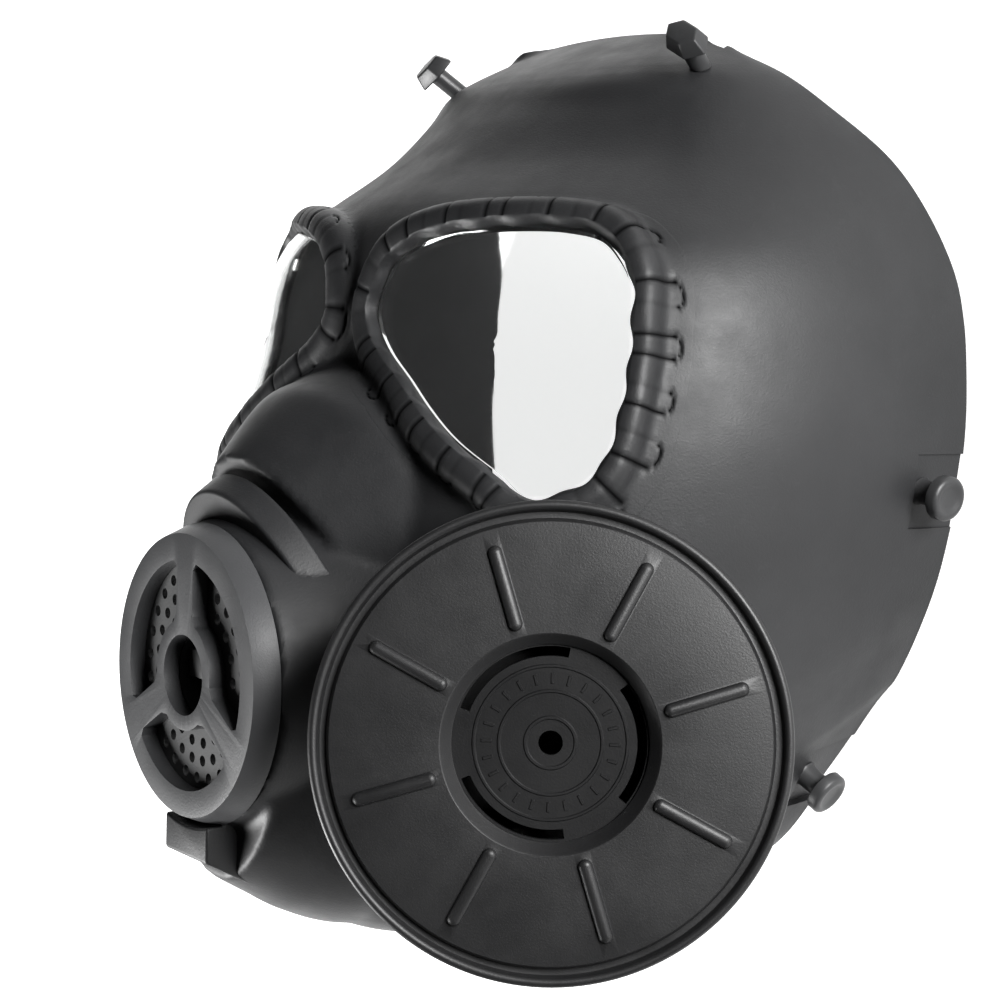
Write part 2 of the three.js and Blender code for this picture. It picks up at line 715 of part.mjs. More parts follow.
function addPiece(name, geometry, colour, roughness, pose = new THREE.Matrix4()) {
  const material = new THREE.MeshStandardMaterial({ color: colour, roughness, metalness: 0 });
  if (colour === COLOURS.lens) {
    material.transparent = true;
    material.opacity = 0.3;
  }
  const mesh = new THREE.Mesh(geometry, material);
  mesh.name = name;
  mesh.applyMatrix4(pose);
  mask.add(mesh);
}

addPiece('mask_shell', geometryOf(maskShell()), COLOURS.shell, 0.5);
addPiece('grille_cap', geometryOf(grilleCap()), COLOURS.grille, 0.5, snoutPose);
addPiece('grille_plate', geometryOf(grillePlate()), COLOURS.grille, 0.6, snoutPose);
addPiece('canister_body', geometryOf(canisterBody()), COLOURS.canister, 0.5, canPose);
addPiece('canister_hub', geometryOf(canisterHub()), COLOURS.canister, 0.6, canPose);
[['left', 1], ['right', -1]].forEach(([label, side]) => {
  const sheet = lensSheet(side, -lensPlay, lensThick - lensSink, -lensSink);
  addPiece(`lens_${label}`, geometryOf(sheet), COLOURS.lens, 0.05);
  POSTS.forEach((post) => {
    const { point, axis } = postSpot(post, side);
    const pose = poseOf(point, axis, new THREE.Vector3(0, 1, 0));
    const geometry = post.studded ? studGeometry(pose) : buttonGeometry();
    addPiece(`${post.name}_${label}`, geometry, COLOURS.post, 0.5, pose);
  });
});

// The mask lies on its rim, face up: the crown points along +Y and the snout up.
const part = new THREE.Group();
part.add(mask);
mask.rotation.x = -Math.PI / 2;
part.updateMatrixWorld(true);
const bounds = new THREE.Box3().setFromObject(part, true);
mask.position.set(-(bounds.min.x + bounds.max.x) / 2, -(bounds.min.y + bounds.max.y) / 2, -bounds.min.z);

export default part;
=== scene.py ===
# %% [markdown]
# A full-face costume mask in the style of a gas mask, lying on its rim with the snout up. Blender
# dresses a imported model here: each fine piece takes the place of a plain CAD solid and keeps its
# size and place. The face is modelled upright, as it is worn (x to the wearer's left, y to the
# back, z to the crown), and one function lays every point down into the frame.

# %% Load the frame
import math

import bmesh
import bpy
import numpy as np
from mathutils import Matrix, Vector
from mathutils.bvhtree import BVHTree
from mathutils.kdtree import KDTree


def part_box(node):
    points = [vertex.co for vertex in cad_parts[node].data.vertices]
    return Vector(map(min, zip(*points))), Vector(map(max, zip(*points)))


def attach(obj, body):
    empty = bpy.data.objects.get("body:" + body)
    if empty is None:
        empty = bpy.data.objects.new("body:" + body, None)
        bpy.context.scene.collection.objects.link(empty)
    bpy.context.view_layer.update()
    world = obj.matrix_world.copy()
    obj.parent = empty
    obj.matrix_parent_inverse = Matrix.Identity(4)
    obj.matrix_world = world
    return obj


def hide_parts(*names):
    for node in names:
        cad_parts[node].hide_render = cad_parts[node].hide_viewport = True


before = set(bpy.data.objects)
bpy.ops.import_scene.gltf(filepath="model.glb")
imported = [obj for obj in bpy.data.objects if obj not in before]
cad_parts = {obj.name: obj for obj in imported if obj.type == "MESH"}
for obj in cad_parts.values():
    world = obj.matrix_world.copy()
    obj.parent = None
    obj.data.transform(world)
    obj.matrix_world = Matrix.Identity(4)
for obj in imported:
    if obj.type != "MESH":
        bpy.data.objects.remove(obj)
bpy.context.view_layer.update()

print("CAD nodes:", len(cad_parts))

# %% [markdown]
# Sizes first, in metres, under a maker's names. The face, the snout and the lens frames are soft
# moulded shapes that no primitive gives, so short tables hold their sections as shares of the
# overall sizes, and smooth curves run through the rows.

# %% Sizes
FACE_DEPTH = 0.151
HALF_WIDTH = 0.096
CROWN_UP = 0.1555
CHIN_DOWN = 0.0655
WALL = 0.0024
GAP = 0.0003
CAP_RADIUS = 0.0325
CAP_BACK = 0.0057
CAP_FLARE = 0.0023
STEP_ONE_FRONT = CAP_BACK + GAP
STEP_TWO_FRONT = 0.0115
CHIN_FRONT = 0.0095

FACE_KEYS = ("front_back", "front_up", "rim_out", "rim_back", "rim_up", "square")
FACE_ROWS = [
    (0.742, -0.977, 0.500, 0.821, -0.797, 2.0),
    (0.556, -1.000, 0.625, 0.887, -0.602, 2.0),
    (0.377, -0.992, 0.708, 0.947, -0.301, 2.1),
    (0.265, -0.932, 0.792, 0.980, -0.060, 2.2),
    (0.199, -0.752, 0.865, 1.000, 0.064, 2.3),
    (0.179, -0.451, 0.927, 1.000, 0.154, 2.5),
    (0.179, 0.000, 0.964, 1.000, 0.238, 2.6),
    (0.205, 0.193, 0.990, 1.000, 0.322, 2.8),
    (0.245, 0.354, 1.000, 1.000, 0.399, 3.0),
    (0.285, 0.489, 0.995, 1.000, 0.476, 3.0),
    (0.298, 0.579, 0.979, 1.000, 0.553, 3.0),
    (0.315, 0.650, 0.948, 0.993, 0.630, 2.8),
    (0.358, 0.707, 0.896, 0.960, 0.720, 2.3),
    (0.457, 0.781, 0.823, 0.921, 0.797, 2.0),
    (0.543, 0.859, 0.708, 0.868, 0.868, 2.0),
    (0.616, 0.923, 0.604, 0.828, 0.920, 2.25),
    (0.775, 1.000, 0.479, 0.791, 0.958, 2.0),
]

SNOUT_KEYS = ("back", "up", "down", "out", "lean")
TUBE_RINGS = [
    (STEP_ONE_FRONT / FACE_DEPTH, 1.07, 1.07, 1.07, 0),
    (0.08, 1.12, 1.12, 1.12, 0),
    (0.133, 1.2, 1.2, 1.2, 0),
    (0.2, 1.33, 1.36, 1.36, 0),
    (0.3, 1.5, 1.6, 1.62, 0),
]
CHIN_RINGS = [
    (CHIN_FRONT / FACE_DEPTH, 0.9, 1.48, 0.93, 0),
    (0.119, 1, 1.63, 1.1, 0),
    (0.172, 1.1, 1.77, 1.3, 0),
    (0.252, 1.2, 1.9, 1.6, 0),
    (0.37, 1.3, 1.93, 1.8, 0),
]
COLLAR_RINGS = [
    (STEP_ONE_FRONT / FACE_DEPTH, 1.292, 0.9, 1.02, 0.44),
    ((STEP_TWO_FRONT + GAP) / FACE_DEPTH, 1.42, 1, 1.1, 0.44),
]
RIDGE_RINGS = [
    (STEP_TWO_FRONT / FACE_DEPTH, 1.538, 1, 1.08, 0.62),
    (0.113, 1.723, 1, 1.3, 0.57),
    (0.156, 1.923, 1, 1.54, 0.52),
    (0.187, 2.034, 1, 1.68, 0.48),
    (0.225, 2.1, 1, 1.78, 0.44),
    (0.275, 2.2, 1, 1.9, 0.4),
    (0.33, 2.25, 1, 1.95, 0.4),
]
print("face sections:", len(FACE_ROWS))

# %% [markdown]
# The frame gives the place of the snout's front face, so everything that is modelled upright is
# laid down from there: the wearer's left stays x, the crown turns to y and the snout points up.

# %% From upright to lying
cap_low, cap_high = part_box("grille_cap")
SNOUT = np.array([(cap_low.x + cap_high.x) / 2, (cap_low.y + cap_high.y) / 2, cap_high.z])


def laid(points):
    """Upright points, laid down into the frame."""
    points = np.asarray(points, float)
    return np.stack([points[..., 0], points[..., 2], -points[..., 1]], -1) + SNOUT


def laid_pose(place, axis, sideways):
    """Matrix that carries a piece's own z to an upright axis and its origin to an upright place."""
    z = Vector(axis).normalized()
    x = Vector(sideways).cross(z).normalized()
    y = z.cross(x)
    turn = Matrix(((1, 0, 0), (0, 0, 1), (0, -1, 0)))
    columns = [turn @ direction for direction in (x, y, z)]
    pose = Matrix(columns).transposed().to_4x4()
    pose.translation = laid(place)
    return pose


print("snout at", [round(float(value), 4) for value in SNOUT])

# %% [markdown]
# Curves through the tables are Hermite curves with the slopes of the neighbouring rows. The face
# itself is a stack of U-shaped sections: each is a quarter superellipse on either side, from the
# middle of the face round to the rim.

# %% The face as a formula
def row_value(rows, keys, key, place):
    values = np.array([row[keys.index(key)] for row in rows], float)
    spot = np.clip(place, 0, 1) * (len(values) - 1)
    i = np.minimum(np.floor(spot).astype(int), len(values) - 2)
    t = spot - i
    ends = np.concatenate([[2 * values[0] - values[1]], values, [2 * values[-1] - values[-2]]])
    before, start, end, after = (ends[i + k] for k in range(4))
    slope_in = (end - before) / 2
    slope_out = (after - start) / 2
    return ((2 * t**3 - 3 * t**2 + 1) * start + (t**3 - 2 * t**2 + t) * slope_in
            + (3 * t**2 - 2 * t**3) * end + (t**3 - t**2) * slope_out)


def face_value(key, along):
    return row_value(FACE_ROWS, FACE_KEYS, key, along)


def height_of(share):
    return np.where(share < 0, share * CHIN_DOWN, share * CROWN_UP)


def face_point(across, along):
    """Outer surface of the face; across runs from -1 (right rim) to 1 (left rim)."""
    power = 2 / face_value("square", along)
    angle = np.abs(across) * math.pi / 2
    side = np.sin(angle) ** power
    front = np.maximum(np.cos(angle), 0) ** power
    rim_back = face_value("rim_back", along) * FACE_DEPTH
    rim_up = height_of(face_value("rim_up", along))
    back = rim_back + (face_value("front_back", along) * FACE_DEPTH - rim_back) * front
    up = rim_up + (height_of(face_value("front_up", along)) - rim_up) * front
    out = np.sign(across) * side * face_value("rim_out", along) * HALF_WIDTH
    return np.stack(np.broadcast_arrays(out, back, up), -1)


def unit(vectors):
    return vectors / np.maximum(np.linalg.norm(vectors, axis=-1, keepdims=True), 1e-12)


def face_normal(across, along):
    step = 0.004
    across_edge = face_point(np.minimum(across + step, 1), along) - face_point(np.maximum(across - step, -1), along)
    along_edge = face_point(across, np.minimum(along + step, 1)) - face_point(across, np.maximum(along - step, 0))
    return unit(np.cross(across_edge, along_edge))


def face_at(x, z):
    """Point and normal of the face where it lies at x and z in the front view."""
    def turn_of(along):
        side = np.minimum(np.abs(x) / (face_value("rim_out", along) * HALF_WIDTH), 1)
        return np.sign(x) * np.arcsin(side ** (face_value("square", along) / 2)) / (math.pi / 2)

    low = np.full(np.shape(x), 0.2)
    high = np.full(np.shape(x), 0.85)
    for halving in range(40):
        along = (low + high) / 2
        below = face_point(turn_of(along), along)[..., 2] < z
        low = np.where(below, along, low)
        high = np.where(below, high, along)
    across = turn_of(low)
    return face_point(across, low), face_normal(across, low)


print("brow of the face:", face_point(np.array(0.0), np.array(0.8)).round(4))

# %% [markdown]
# Two clay shapes do most of the modelling. A sphere primitive has rings between two poles, so its
# rings are drawn out into any closed body; a torus primitive is a closed tube, so its sections
# are drawn into any bead that runs round a path. Each vertex finds its ring by its own angle.

# %% Helpers for shaping
def pick(piece):
    bpy.ops.object.select_all(action="DESELECT")
    piece.select_set(True)
    bpy.context.view_layer.objects.active = piece
    return piece


def named(name):
    piece = bpy.context.object
    piece.name = name
    piece.data.name = name
    return piece


def points_of(piece):
    points = np.empty(len(piece.data.vertices) * 3)
    piece.data.vertices.foreach_get("co", points)
    return points.reshape(-1, 3)


def move_points(piece, points):
    piece.data.vertices.foreach_set("co", np.asarray(points, np.float32).reshape(-1))
    piece.data.update()


def outward(piece):
    """Turns every face of a closed mesh outwards."""
    pick(piece)
    bpy.ops.object.mode_set(mode="EDIT")
    bpy.ops.mesh.select_all(action="SELECT")
    bpy.ops.mesh.normals_make_consistent(inside=False)
    bpy.ops.object.mode_set(mode="OBJECT")
    return piece


def loft(name, rings):
    """Closed body through upright rings: a sphere whose rings are drawn out."""
    rings = np.asarray(rings)
    levels, steps = rings.shape[:2]
    bpy.ops.object.select_all(action="DESELECT")
    bpy.ops.mesh.primitive_uv_sphere_add(segments=steps, ring_count=levels + 1, radius=1)
    piece = named(name)
    ball = points_of(piece)
    level = np.rint(np.arccos(np.clip(ball[:, 2], -1, 1)) / math.pi * (levels + 1)).astype(int)
    turn = np.rint(np.arctan2(ball[:, 1], ball[:, 0]) / (2 * math.pi) * steps).astype(int) % steps
    points = rings[np.clip(level - 1, 0, levels - 1), turn]
    points[level == 0] = rings[0].mean(0)
    points[level == levels + 1] = rings[-1].mean(0)
    move_points(piece, laid(points))
    return outward(piece)


def hoop(name, sections, painted_groove_shade=None):
    """Closed tube through upright sections: a torus whose sections are drawn out."""
    sections = np.asarray(sections)
    count, steps = sections.shape[:2]
    bpy.ops.object.select_all(action="DESELECT")
    bpy.ops.mesh.primitive_torus_add(major_segments=count, minor_segments=steps, major_radius=1, minor_radius=0.25)
    piece = named(name)
    ring = points_of(piece)
    around = np.rint(np.arctan2(ring[:, 1], ring[:, 0]) / (2 * math.pi) * count).astype(int) % count
    reach = np.hypot(ring[:, 0], ring[:, 1]) - 1
    turn = np.rint(np.arctan2(ring[:, 2], reach) / (2 * math.pi) * steps).astype(int) % steps
    move_points(piece, laid(sections[around, turn]))
    # Optional point attribute of painted shade, which the finish turns near black along the engraved grooves.
    if painted_groove_shade is not None:
        mark = piece.data.attributes.new("groove", "FLOAT", "POINT")
        mark.data.foreach_set("value", painted_groove_shade[around, turn])
    return outward(piece)


def finish_modifier(piece, kind, **settings):
    """Adds a modifier with its settings and applies it."""
    pick(piece)
    modifier = piece.modifiers.new(kind.lower(), kind)
    for setting, value in settings.items():
        setattr(modifier, setting, value)
    bpy.ops.object.modifier_apply(modifier=modifier.name)
    return piece


def combine(piece, other, operation, keep=False):
    finish_modifier(piece, "BOOLEAN", operation=operation, solver="MANIFOLD", object=other)
    if not keep:
        bpy.data.objects.remove(other)
    return piece


def smooth(piece, degrees=35):
    pick(piece)
    bpy.ops.object.shade_smooth_by_angle(angle=math.radians(degrees))
    return piece


def put(piece, pose):
    """Places a piece by a matrix and applies it, so that its object stays at the origin."""
    pick(piece)
    piece.matrix_world = pose
    bpy.ops.object.transform_apply(location=True, rotation=True, scale=True)
    return piece


def turned(name, profile, steps):
    """Round body: one vertex extruded along a profile of radius and height, then spun."""
    bpy.ops.object.select_all(action="DESELECT")
    bpy.ops.mesh.primitive_plane_add(size=0.001)
    piece = named(name)
    bpy.ops.object.mode_set(mode="EDIT")
    bpy.ops.mesh.select_all(action="SELECT")
    bpy.ops.mesh.merge(type="CENTER")
    radius, height = profile[0]
    bpy.ops.transform.translate(value=(radius, 0, height))
    for next_radius, next_height in profile[1:]:
        step = (next_radius - radius, 0, next_height - height)
        bpy.ops.mesh.extrude_region_move(TRANSFORM_OT_translate={"value": step})
        radius, height = next_radius, next_height
    bpy.ops.mesh.select_all(action="SELECT")
    bpy.ops.mesh.spin(steps=steps, angle=2 * math.pi, center=(0, 0, 0), axis=(0, 0, 1))
    bpy.ops.mesh.select_all(action="SELECT")
    bpy.ops.mesh.remove_doubles(threshold=1e-6)
    bpy.ops.object.mode_set(mode="OBJECT")
    return outward(piece)


def cylinder(name, radius, low, high, steps=64):
    bpy.ops.object.select_all(action="DESELECT")
    bpy.ops.mesh.primitive_cylinder_add(vertices=steps, radius=radius, depth=high - low,
                                        location=(0, 0, (low + high) / 2))
    piece = named(name)
    bpy.ops.object.transform_apply(location=True, rotation=True, scale=True)
    return piece


def triangles(piece):
    piece.data.calc_loop_triangles()
    return len(piece.data.loop_triangles)


print("helpers ready")

# %% [markdown]
# Camera, floor and light come early, so that every later cell can be looked at. The camera stands
# where the photograph was taken from: to the wearer's left of the snout and a little above it.
# The floor is the paper that the mask lies on.

# %% Camera
EYE = (0.4443, -0.2359, 0.0826)
EYE_RIGHT = (0.5872, 0.8088, 0.0313)
EYE_BACK = (0.8051, -0.5876, 0.0806)
FOCAL_LENGTH = 79.1

right = Vector(EYE_RIGHT).normalized()
back = Vector(EYE_BACK)
back = (back - right * back.dot(right)).normalized()
up = back.cross(right)
lay = Matrix(((1, 0, 0), (0, 0, 1), (0, -1, 0)))
camera_data = bpy.data.cameras.new("camera")
camera_data.lens = FOCAL_LENGTH
camera_data.sensor_width = 36
camera = bpy.data.objects.new("camera", camera_data)
bpy.context.scene.collection.objects.link(camera)
camera_pose = Matrix([lay @ right, lay @ up, lay @ back]).transposed().to_4x4()
camera_pose.translation = laid(EYE)
camera.matrix_world = camera_pose
bpy.context.scene.camera = camera
print("camera at", [round(value, 3) for value in camera.location])

# %% Floor and world
bpy.ops.object.select_all(action="DESELECT")
bpy.ops.mesh.primitive_plane_add(size=40, location=(0, 0, 0))
floor = named("floor")
floor_material = bpy.data.materials.new("pale_paper")
floor_material.use_nodes = True
paper = floor_material.node_tree.nodes["Principled BSDF"]
paper.inputs["Base Color"].default_value = (0.6, 0.6, 0.6, 1)
paper.inputs["Roughness"].default_value = 0.9
paper.inputs["Emission Color"].default_value = (1, 1, 1, 1)
paper.inputs["Emission Strength"].default_value = 0.88
floor.data.materials.append(floor_material)

world = bpy.data.worlds.new("studio")
world.use_nodes = True
world.node_tree.nodes["Background"].inputs["Color"].default_value = (1, 1, 1, 1)
world.node_tree.nodes["Background"].inputs["Strength"].default_value = 0.01
bpy.context.scene.world = world
bpy.context.scene.view_settings.view_transform = "Standard"
print("floor and world made")

# %% Lights
LIGHT_KEYS = ("name", "place", "size", "power")
LIGHTS = [
    ("temple_softbox", (0.95, 0.35, 0.16), 0.45, 32),
    ("chin_softbox", (-0.55, -0.6, 0.7), 0.45, 24),
]
for name, place, size, power in LIGHTS:
    light_data = bpy.data.lights.new(name, "AREA")
    light_data.shape = "SQUARE"
    light_data.size = size
    light_data.energy = power
    light = bpy.data.objects.new(name, light_data)
    bpy.context.scene.collection.objects.link(light)
    light.location = place
    light.rotation_euler = (Vector((0, 0, 0.07)) - Vector(place)).to_track_quat("-Z", "Y").to_euler()
print("lights:", len(LIGHTS))

# %% [markdown]
# The shell is one moulding, so its outside is built as clay: the face, three forms of the snout,
# the canister's port and the two lens beads are pushed into each other, and a voxel remesh makes
# one skin of them. A little smoothing then gives the soft fillets of a moulded part, which booleans
# alone would leave as hard creases. The snout's collar and the outlet block are joined on later.

# %% Blanks of the face
RUN_ON = 0.012


def face_block(name, inset, run_on, across_steps, along_steps):
    """The face as a closed block, drawn in by an inset and run on past the rim."""
    along = np.linspace(0, 1, along_steps + 1)[:, None]
    across = np.linspace(-1, 1, across_steps + 1)[None, :]
    rows = face_point(across, along) - face_normal(across, along) * inset
    if run_on:
        first = rows[0] + unit(rows[0] - rows[1]) * run_on
        last = rows[-1] + unit(rows[-1] - rows[-2]) * run_on
        rows = np.concatenate([first[None], rows, last[None]])
        behind = np.array([0, run_on, 0])
        rows = np.concatenate([rows[:, :1] + behind, rows, rows[:, -1:] + behind], 1)
    return loft(name, rows)


def snout_form(name, rows, inset, levels=24, steps=96):
    place = np.linspace(0, 1, levels)[:, None]
    angle = np.linspace(0, 2 * math.pi, steps, endpoint=False)[None, :]

    def size(key):
        return row_value(rows, SNOUT_KEYS, key, place) * CAP_RADIUS - inset

    high = np.where(np.sin(angle) > 0, size("up"), size("down")) * np.sin(angle)
    lean = row_value(rows, SNOUT_KEYS, "lean", place)
    back = row_value(rows, SNOUT_KEYS, "back", place) * FACE_DEPTH + inset + lean * (size("up") - high)
    return loft(name, np.stack(np.broadcast_arrays(np.cos(angle) * size("out"), back, high), -1))


shell = face_block("mask_shell_fine", 0, RUN_ON, 96, 72)
print("face blank:", triangles(shell), "triangles")

# %% Canister pose and port
CAN_OUTWARD = math.radians(52.5)
CAN_UPWARD = math.radians(5.2)
CAN_STAND_OFF = 0.0308
CAN_ACROSS = 0.484
CAN_ALONG = 0.3405
CAN_BACK = 0.0235
NECK_RADIUS = 0.019
PORT_WALL = 0.0045
PORT_DEPTH = 0.02

can_axis = np.array([
    math.sin(CAN_OUTWARD) * math.cos(CAN_UPWARD), -math.cos(CAN_OUTWARD) * math.cos(CAN_UPWARD), math.sin(CAN_UPWARD),
])
can_axis = unit(can_axis)
can_centre = face_point(np.array(CAN_ACROSS), np.array(CAN_ALONG)) + can_axis * CAN_STAND_OFF
can_pose = laid_pose(can_centre, can_axis, (0, 0, 1))
snout_pose = laid_pose((0, 0, 0), (0, -1, 0), (0, 0, 1))
print("canister centre:", can_centre.round(4))

# %% Outlet block
OUTLET_HALF = 0.01
OUTLET_FRONT = 0.0015
OUTLET_DROP = 0.0095
OUTLET_SLOPE = 0.0085
OUTLET_BACK = 0.018


def outlet_block():
    """Box under the cap, with its bottom sloped back to the chin."""
    top = -CAP_RADIUS + OUTLET_DROP
    bottom = -CAP_RADIUS - OUTLET_DROP
    bpy.ops.object.select_all(action="DESELECT")
    bpy.ops.mesh.primitive_cube_add(size=1)
    block = named("outlet_block")
    corners = points_of(block)
    front = corners[:, 1] < 0
    points = np.empty_like(corners)
    points[:, 0] = np.sign(corners[:, 0]) * OUTLET_HALF
    points[:, 1] = np.where(front, OUTLET_FRONT, OUTLET_BACK)
    points[:, 2] = np.where(corners[:, 2] > 0, top, np.where(front, bottom, bottom - OUTLET_SLOPE))
    move_points(block, laid(points))
    cap_space = put(cylinder("cap_space", CAP_RADIUS + CAP_FLARE + GAP, -STEP_ONE_FRONT, CAP_BACK, 128), snout_pose)
    return combine(outward(block), cap_space, "DIFFERENCE")


block = outlet_block()
print("outlet block:", triangles(block), "triangles")

# %% [markdown]
# Each lens opening is a closed curve in the front view, thrown back onto the face. A bead runs
# round it. Its path gives each place an outward and an upright direction, which the bead, the
# lens and the wrapped frame all share.

# %% Lens path
BEAD_WIDTH = 0.009
TEMPLE_NARROWING = 0.36
BEAD_HEIGHT = 0.0042
LENS_OUTLINE = [
    (0.098, 0.545), (0.114, 0.585), (0.15, 0.62), (0.222, 0.644), (0.31, 0.658), (0.42, 0.666),
    (0.52, 0.669), (0.605, 0.667), (0.685, 0.655), (0.745, 0.622), (0.778, 0.583), (0.79, 0.53),
    (0.797, 0.47), (0.802, 0.41), (0.796, 0.353), (0.768, 0.315), (0.715, 0.293), (0.66, 0.291),
    (0.605, 0.318), (0.479, 0.362), (0.381, 0.401), (0.285, 0.441), (0.183, 0.479), (0.122, 0.512),
]
BEAD_SECTION = [(-0.1, 0.5), (-0.02, 0.72), (0.14, 0.88), (0.4, 1), (0.6, 0.94), (0.78, 0.7), (0.9, 0.4), (1, 0)]


def closed_curve(points, steps):
    """Even points along a closed curve through the given ones."""
    points = np.asarray(points, float)
    count = len(points)
    fine = 40
    t = np.arange(count * fine) / fine
    i = np.floor(t).astype(int)
    u = (t - i)[:, None]
    p0, p1, p2, p3 = (points[(i + k) % count] for k in (-1, 0, 1, 2))
    curve = 0.5 * (2 * p1 + (p2 - p0) * u + (2 * p0 - 5 * p1 + 4 * p2 - p3) * u**2
                   + (3 * p1 - p0 - 3 * p2 + p3) * u**3)
    closed = np.concatenate([curve, curve[:1]])
    length = np.concatenate([[0], np.cumsum(np.linalg.norm(np.diff(closed, axis=0), axis=1))])
    wanted = np.arange(steps) / steps * length[-1]
    return np.stack([np.interp(wanted, length, closed[:, axis]) for axis in range(points.shape[1])], -1)


def lens_path(side, steps):
    flat = closed_curve(LENS_OUTLINE, steps)
    points, normals = face_at(side * flat[:, 0] * HALF_WIDTH, flat[:, 1] * CROWN_UP)
    points = closed_curve(points, steps)
    normals = unit(face_at(points[:, 0], points[:, 2])[1])
    forward = unit(np.roll(points, -1, 0) - np.roll(points, 1, 0))
    sideways = -side * unit(np.cross(forward, normals))
    return points, normals, sideways


def bead(side, steps=200):
    points, normals, sideways = lens_path(side, steps)
    width = BEAD_WIDTH * (1 - TEMPLE_NARROWING * np.clip(side * sideways[:, :1], 0, 1))
    section = [(out, rise * BEAD_HEIGHT) for out, rise in BEAD_SECTION]
    section = [(section[0][0], -WALL), *section, (1, -WALL)]
    return hoop("bead", np.stack([points + sideways * width * out + normals * rise for out, rise in section], 1))


print("lens path:", lens_path(1, 60)[0].shape)

# %% Outside of the shell
VOXEL = 0.0012
port = put(cylinder("port", NECK_RADIUS + GAP + PORT_WALL, -CAN_BACK - PORT_DEPTH, -CAN_BACK - GAP, 96), can_pose)
blanks = [port, bead(1), bead(-1)]
blanks += [snout_form("snout_blank", rows, 0) for rows in (TUBE_RINGS, CHIN_RINGS, RIDGE_RINGS)]
pick(shell)
for blank in blanks:
    blank.select_set(True)
bpy.ops.object.join()
finish_modifier(shell, "REMESH", mode="VOXEL", voxel_size=VOXEL)
finish_modifier(shell, "SMOOTH", factor=0.5, iterations=3)
print("outside of the shell:", triangles(shell), "triangles")

# %% [markdown]
# The lens frames look as if a strap were wrapped round the bead: about twenty tongues, each an
# engraved U, run from the lens over the bead onto the shell, with soft blocks between them. That
# is too fine for the remesh, so each frame is a ring of its own. It walks over the finished skin
# from the lens outwards, is evened out, and only then gets its grooves, so it lies flush.

# %% Wrapped lens frames
FRAME_STEPS = 1000
TONGUES = 20
TONGUE_HALF = 0.00225
GROOVE_HALF = 0.00026
GROOVE_DEPTH = 0.00045
PROUD = 0.00004
BLOCK_BULGE = 0.0008
WALK_STEP = 0.00036
WALK_COUNT = 50
BORDER = 0.0012
MARGIN = 0.0034
FRAME_SINK = 0.0009
TONGUE_PHASE = {1: -0.1, -1: 0.2}


def skin_of(piece):
    mesh = piece.data
    return BVHTree.FromPolygons([v.co for v in mesh.vertices], [tuple(p.vertices) for p in mesh.polygons])


def evened(grid, round_steps, out_steps):
    """Runs a soft average round the ring and across it."""
    for turn in range(round_steps):
        grid = (np.roll(grid, 1, 0) + 2 * grid + np.roll(grid, -1, 0)) / 4
    for turn in range(out_steps):
        padded = np.concatenate([2 * grid[:, :1] - grid[:, 1:2], grid, 2 * grid[:, -1:] - grid[:, -2:-1]], 1)
        grid = (padded[:, :-2] + 2 * grid + padded[:, 2:]) / 4
    return grid


def walked(skin, start, heading, steps, step):
    """Walks from each start over the skin, straight on, and returns the places passed."""
    rows = []
    for place, way in zip(start, heading):
        spot = Vector(place)
        way = Vector(way)
        row = []
        for k in range(steps):
            found, normal, index, distance = skin.find_nearest(spot)
            row.append(tuple(found))
            way = (way - normal * way.dot(normal)).normalized()
            spot = found + way * step
        rows.append(row)
    return np.array(rows)


